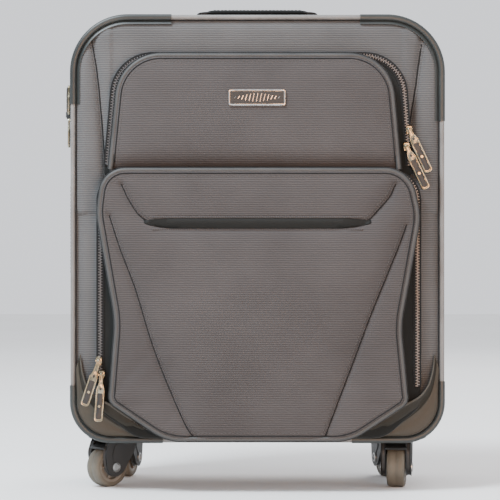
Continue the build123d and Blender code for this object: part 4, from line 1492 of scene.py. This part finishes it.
def build_housings(spots):
    """Moulded feet under the case, a tapered skirt round each kingpin, with their screws."""
    shape = Shape()
    for spot in spots:
        def ring(x, y, radius, z):
            return [Vector((spot.x + p.x, spot.y + 4.5 * MM + p.y, z)) for p in rounded_rect(x, y, radius)]
        loops = [ring(25 * MM, 20 * MM, 12 * MM, 51.5 * MM), ring(27.5 * MM, 22 * MM, 12 * MM, 51.7 * MM),
                 ring(30.5 * MM, 24 * MM, 12 * MM, 53.4 * MM), ring(31 * MM, 24.5 * MM, 12 * MM, 54.2 * MM)]
        shape.loft(loops)
        shape.lathe([(0.1 * MM, 46.6 * MM), (4.6 * MM, 46.6 * MM), (4.9 * MM, 52 * MM), (0.1 * MM, 52 * MM)],
                    (spot.x, spot.y, 0), (0, 0, 1), 24, slot=1)
        for x, y in ((-21, -12), (21, -12), (-21, 21), (21, 21)):
            shape.lathe([(0.1 * MM, 50.9 * MM), (1.4 * MM, 50.9 * MM), (2.8 * MM, 51.6 * MM),
                         (0.1 * MM, 51.9 * MM)],
                        (spot.x + x * MM, spot.y + y * MM, 0), (0, 0, 1), 20, slot=1)
    keep(shape.object("caster_feet", [PLASTIC, STEEL], 38), "root", "trim_plastic", "caster_housings")


# ---- handles ------------------------------------------------------------
def strap(shape, path, section, slot=0, sides=20):
    """Soft strap along a run in the X, Z plane. section(share) gives its half width in Y and
    its half thickness."""
    rows, length = [], 0.0
    for i, p in enumerate(path):
        ahead, behind = path[min(i + 1, len(path) - 1)], path[max(i - 1, 0)]
        tangent = (ahead - behind).normalized()
        short = tangent.cross(Vector((0, 1, 0)))
        wide, thick = section(i / (len(path) - 1))
        if i:
            length += (p - path[i - 1]).length
        row = []
        for k in range(sides):
            a = math.tau * k / sides
            cos, sin = math.cos(a), math.sin(a)
            y = math.copysign(abs(cos) ** 0.6, cos) * wide
            h = math.copysign(abs(sin) ** 0.75, sin) * thick
            row.append(shape.vert(p + Vector((0, y, 0)) + short * h, (y, length, 0)))
        rows.append(row)
    for a, b in zip(rows, rows[1:]):
        shape.bridge(a, b, True, slot)
    shape.face(reversed(rows[0]), slot)
    shape.face(rows[-1], slot)


def build_handle(name, node, body, height, spot, turn):
    """Padded carry handle: a webbing strap with a stuffed sleeve round its middle, whose
    own middle stands at a height over the wall."""
    side = [(-68, -26), (-68, -12), (-68, 1), (-67.6, height - 4), (-65.5, height - 1.6), (-61, height - 0.5),
            (-50, height - 0.1)]
    bend = [Vector((x * MM, 0, z * MM)) for x, z in side + [(0, height)] + [(-x, z) for x, z in side[::-1]]]
    path = subdivide_run(smooth_curve(bend, 3 * MM), 3 * MM)
    web = Shape()
    def web_section(share):
        edge = min(share, 1 - share)
        wide = 5.6 + 5.0 * min(1.0, max(0.0, (edge - 0.135) / 0.05))
        return wide * MM, 1.1 * MM
    strap(web, path, web_section)
    obj = turned(web, spot, turn).object(name + "_webbing", [WEBBING], 60)
    keep(obj, body, "handle_webbing", node)
    sleeve = Shape()
    grip_path = [p for p in path if abs(p.x) < 57.5 * MM and p.z > 3 * MM]
    def sleeve_section(share):
        edge = min(share, 1 - share)
        full = min(1.0, edge / 0.07) ** 0.5
        ripple = 0.12 * math.sin(share * 71) * MM
        return (8.6 + 2.6 * full) * MM, (1.4 + 1.5 * full) * MM + ripple
    strap(sleeve, grip_path, sleeve_section)
    obj = turned(sleeve, spot, turn).object(name + "_sleeve", [GUSSET], 70)
    keep(obj, body, "handle_webbing")
    trim = Shape()
    for y in (-8.0, 8.0):
        line = [Vector((p.x, y * MM, (height + 2.5) * MM)) for p in grip_path[2:-2]]
        stitches(trim, line)
    obj = turned(trim, spot, turn).object(name + "_stitching", [THREAD], 60)
    keep(obj, body, "handle_webbing")


def build_end_caps(spots):
    """Moulded caps that the handles' straps slide through."""
    shape = Shape()
    for spot, turn in spots:
        for end in (-1, 1):
            cap_shape = Shape()
            x = end * 68 * MM
            def ring(inset, z):
                return [Vector((x + p.x, p.y, z * MM)) for p in rounded_rect((13 - inset) * MM,
                                                                             (15 - inset) * MM,
                                                                            max(0.5, 5 - inset) * MM)]
            cap_shape.loft([ring(0.6, -0.2), ring(0, 0.4), ring(0.2, 1.6), ring(1.4, 3.0), ring(3.2, 3.5),
                            ring(6.6, 3.45), ring(7.2, 2.4)])
            shape.absorb(cap_shape, turn, spot)
    keep(shape.object("handle_caps_shown", [PLASTIC], 38), "root", "trim_plastic", "handle_end_caps")


def build_grip():
    """Trolley grip: a soft bar with a palm swell, a seam line and its release button."""
    low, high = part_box("trolley_grip")
    middle = (low + high) / 2
    shape = Shape()
    half = (high.x - low.x) / 2
    xs = [-1, -0.995, -0.97, -0.93, -0.86, -0.76, -0.6, -0.4, -0.21, -0.2, 0, 0.2, 0.21, 0.4, 0.6, 0.76, 0.86,
          0.93, 0.97, 0.995, 1]
    def section(share):
        u = abs(2 * share - 1)
        end = (1 - max(0.0, (u - 0.86) / 0.14) ** 2.6 * 0.42)
        return (high.y - low.y) / 2 * end, (high.z - low.z) / 2 * end * (0.97 if u < 0.21 else 1.0)
    path = resample([Vector((middle.x + half * u, middle.y, middle.z)) for u in xs], 61, False)
    strap(shape, path, section, sides=28)
    for y, out in ((low.y, -1), (high.y, 1)):
        line = [Vector((middle.x + half * 0.8 * t / 20, y + out * 0.05 * MM, middle.z)) for t in range(-20, 21)]
        shape.tube(line, 0.45 * MM, 6, slot=1)
    keep(shape.object("trolley_grip_shown", [GRIP, PLASTIC], 45), "trolley_inner", "grip_plastic",
         "trolley_grip")
    grip_floor = low.z
    low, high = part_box("trolley_button")
    button = Shape()
    centre = (low + high) / 2
    cap_floor = high.z - 5.2 * MM
    loops = []
    for inset, z in ((0.2, cap_floor), (0, cap_floor + 0.6 * MM), (0, high.z - 1.2 * MM),
                     (0.7, high.z - 0.35 * MM), (1.8, high.z), (3.4, high.z - 0.2 * MM)):
        loops.append([Vector((centre.x + p.x, centre.y + p.y, z)) for p in
                      rounded_rect((17 - inset) * MM, (5 - inset) * MM, (4.4 - min(inset, 3)) * MM)])
    button.loft(loops)
    bar_low, bar_high = grip_floor + 6.8 * MM, grip_floor + 9.4 * MM
    for x, wide, deep, z0, z1 in ((0, 16 * MM, 4 * MM, bar_high, cap_floor),
                                  (0, high.x - low.x, 4 * MM, bar_low, bar_high),
                                  (low.x + 1.8 * MM, 3.6 * MM, 3.2 * MM, low.z, bar_low),
                                  (high.x - 1.8 * MM, 3.6 * MM, 3.2 * MM, low.z, bar_low)):
        button.brick(Vector((x, centre.y, (z0 + z1) / 2)), (wide, deep, z1 - z0), None, 0.3 * MM)
    for k in range(-3, 4):
        button.tube([Vector((centre.x + k * 3.2 * MM, centre.y + t * MM,
                             high.z - 0.1 * MM)) for t in (-2.4, 0, 2.4)],
                    0.42 * MM, 6)
    keep(button.object("trolley_button_shown", [BUTTON], 38), "trolley_release", "button_plastic",
         "trolley_button")


def build_side_feet():
    low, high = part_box("side_feet")
    shape = Shape()
    for z in (0.140, 0.430):
        profile = [(0.1, -0.4), (11, -0.4), (11, 1.2), (10.2, 2.4), (8.4, 8.2), (7.2, 10.2), (5.4, 11),
                   (0.1, 11)]
        shape.lathe([(r * MM, h * MM) for r, h in profile], (case_side, (low.y + high.y) / 2, z), (1, 0, 0),
                    40)
        shape.lathe([(r * MM, h * MM) for r, h in ((0.1, 10.6), (2.6, 10.6), (2.9, 11.2), (0.1, 11.4))],
                    (case_side, (low.y + high.y) / 2, z), (1, 0, 0), 24, slot=1)
    keep(shape.object("side_feet_shown", [PLASTIC, STEEL], 38), "root", "trim_plastic", "side_feet")


def build_dials():
    """Three numbered dials with ribbed rims."""
    digits = []
    for d in range(10):
        curve = bpy.data.curves.new("digit", "FONT")
        curve.body = str(d)
        curve.size = 3.3 * MM
        curve.extrude = 0.08 * MM
        curve.align_x = "CENTER"
        curve.align_y = "CENTER"
        curve.resolution_u = 3
        text = bpy.data.objects.new("digit", curve)
        bpy.context.scene.collection.objects.link(text)
        graph = bpy.context.evaluated_depsgraph_get()
        mesh = bpy.data.meshes.new_from_object(text.evaluated_get(graph))
        digits.append(([v.co.copy() for v in mesh.vertices], [tuple(p.vertices) for p in mesh.polygons]))
        bpy.data.objects.remove(text)
        bpy.data.meshes.remove(mesh)
    for number in (1, 2, 3):
        node = f"lock_dial_{number}"
        low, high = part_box(node)
        centre = (low + high) / 2
        radius = (high.x - low.x) / 2
        half = (high.z - low.z) / 2
        shape = Shape()
        rows = []
        for share, scale in ((-1, 0.86), (-0.82, 1.0), (-0.55, 1.0), (-0.5, 0.95), (0.5, 0.95), (0.55, 1.0),
                             (0.82, 1.0), (1, 0.86)):
            row = []
            for k in range(60):
                a = math.tau * k / 60
                r = radius * scale - (0.35 * MM if scale == 1.0 and k % 3 == 0 else 0)
                row.append(shape.vert(centre + Vector((math.cos(a) * r, math.sin(a) * r, half * share))))
            rows.append(row)
        for a, b in zip(rows, rows[1:]):
            shape.bridge(a, b)
        shape.face(reversed(rows[0]))
        shape.face(rows[-1])
        for d, (verts, faces) in enumerate(digits):
            a = math.pi - math.tau * d / 10
            out = Vector((math.cos(a), math.sin(a), 0))
            across = Vector((-math.sin(a), math.cos(a), 0))
            base = len(shape.verts)
            for v in verts:
                shape.vert(centre + out * (radius * 0.955 + v.z) + across * v.x * 0.8 + Vector((0, 0, v.y)))
            for f in faces:
                shape.face([base + i for i in f], 1)
        keep(shape.object(f"lock_dial_shown_{number}", [DIAL, DIGIT], 30), f"dial_{number}", "dial_metal",
             node)


# ---- interior -----------------------------------------------------------
def build_lining():
    """Satin lining: a gathered tub in the body, a panel over the trolley tubes and the lid's own sheet."""
    tub = Shape()
    low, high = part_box("body_lining")
    rand = random.Random(7)
    phases = [rand.uniform(0, math.tau) for _ in range(6)]
    loops, weaves = [], []
    for share in (0, 0.02, 0.1, 0.24, 0.4, 0.56, 0.72, 0.86, 0.96, 1):
        y = low.y + (high.y - low.y) * share
        ring = []
        for i, (p, n) in enumerate(zip(CASE_LOOP, CASE_OUT)):
            t = math.tau * i / len(CASE_LOOP)
            fold = sum(math.sin(t * k + phases[j] + share * 2.2) / (j + 1.5) for j,
                       k in enumerate((9, 17, 26, 41, 58, 73)))
            inset = 6.0 * MM + 0.9 * MM * (1 + fold * 0.6) * math.sin(math.pi * share) ** 0.7
            q = p - n * inset
            ring.append(Vector((q.x, y, q.y)))
        loops.append(ring)
        weaves.append(band_weave(ring))
    tub.loft(loops, caps=False, weaves=weaves)
    obj = tub.object("body_lining_tub", [LINING], 80)
    keep(obj, "root", "lining_fabric", "body_lining")

    for name, node, body, inset, lift in (("back_lining_panel", "lining_back_panel", "root", 7.0, -1),
                                          ("lid_lining_sheet", "lid_lining", "lid", 6.0, 1)):
        low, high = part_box(node)
        y_face = (low.y + high.y) / 2
        sheet = Shape()
        rim = [p - n * inset * MM for p, n in zip(CASE_LOOP, CASE_OUT)]
        edge = kd_of([Vector((p.x, 0, p.y)) for p in rim])
        points, faces = fill_loop(rim[::2], 12 * MM, y_face)
        index = []
        for p in points:
            gap = edge.find((p.x, 0, p.z))[2]
            puff = 0.7 * MM * (1 - math.exp(-gap / (20 * MM)))
            puff *= 1 + 0.5 * math.sin(p.x * 61 + p.z * 17) * math.sin(p.z * 47 - p.x * 13)
            index.append(sheet.vert((p.x, p.y + lift * puff, p.z)))
        for face in faces:
            sheet.face([index[i] for i in face])
        obj = sheet.object(name, [LINING], 80)
        smooth = obj.modifiers.new("smooth", "SUBSURF")
        smooth.levels = 1
        apply_modifiers(obj)
        keep(obj, body, "lining_fabric", node)


def build_packing_straps():
    """Elastic cross straps with a side-release buckle on each."""
    low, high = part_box("packing_straps")
    shape = Shape()
    y = high.y - 0.8 * MM
    for z in (0.190, 0.350):
        for side in (-1, 1):
            xs = [side * (0.020 + (case_side - 0.0085 - 0.020) * t / 24) for t in range(25)]
            path = [Vector((x, y - 0.9 * MM * math.sin(math.pi * i / 24) ** 2, z)) for i, x in enumerate(xs)]
            out = [Vector((0, -1, 0))] * len(path)
            ribbon(shape, path, out, 22 * MM, 1.2 * MM)
            for edge in (-9, 9):
                stitches(shape, [p + Vector((0, -0.8 * MM, edge * MM)) for p in path[-7:]], slot=2)
        body = outline([(-0.024, z - 0.0125), (0.024, z - 0.0125), (0.024, z + 0.0125), (-0.024, z + 0.0125)],
                       [4 * MM] * 4, 1.6 * MM)
        shape.prism(body, low.y, y - 0.2 * MM, 1.0 * MM, slot=1)
        for side in (-1, 1):
            prong = outline([(side * 0.006 - 0.003, z - 0.0145), (side * 0.006 + 0.003, z - 0.0145),
                             (side * 0.006 + 0.003, z + 0.0145), (side * 0.006 - 0.003, z + 0.0145)],
                            [1.4 * MM] * 4, 1 * MM)
            shape.prism(prong, low.y + 0.5 * MM, y - 0.6 * MM, 0.6 * MM, slot=1)
    keep(shape.object("packing_straps_shown", [WEBBING, PLASTIC, THREAD], 45), "root", "webbing",
         "packing_straps")


CAD_FINISHES = {"back_board": BOARD, "frame_hoop": STEEL, "base_tray": PLASTIC, "trolley_cup": PLASTIC,
                "trolley_outer_tubes": ALUMINIUM, "trolley_middle_tubes": ALUMINIUM,
                "trolley_inner_tubes": ALUMINIUM,
                "lock_housing": PLASTIC, "lock_release": BUTTON}


def finish_cad_nodes():
    for name, material in CAD_FINISHES.items():
        mesh = frame["nodes"][name].data
        mesh.materials.clear()
        mesh.materials.append(material)


build_stage()
build_body_shell()
build_back_panel()
build_lid_shell()
build_piping()
build_corner_guards()
upper_face, lower_face = build_pockets()
build_lid_seams()
build_corner_patches(lower_face)
build_pocket_zips()
build_main_zip()
build_hinge_fabric()
for name, (tilt, length, neck) in ZIPS.items():
    spot, turn, cocked = build_slider(name, tilt)
    build_pull(name, length, neck, spot, turn, cocked)
build_badge(upper_face)
build_housings([build_caster(place) for place in CASTERS])
top_place = (Vector((0, 5 * MM, case_top)), Matrix.Identity(3))
side_place = (Vector((-case_side, 28 * MM, 283 * MM)), Matrix.Rotation(math.radians(-90), 3, "Y"))
build_handle("top_handle", "top_handle", "carry_top", 12.1, *top_place)
build_handle("side_handle", "side_handle", "carry_side", 7.0, *side_place)
build_end_caps([top_place, side_place])
build_grip()
build_side_feet()
build_dials()
build_lining()
build_packing_straps()
finish_cad_nodes()
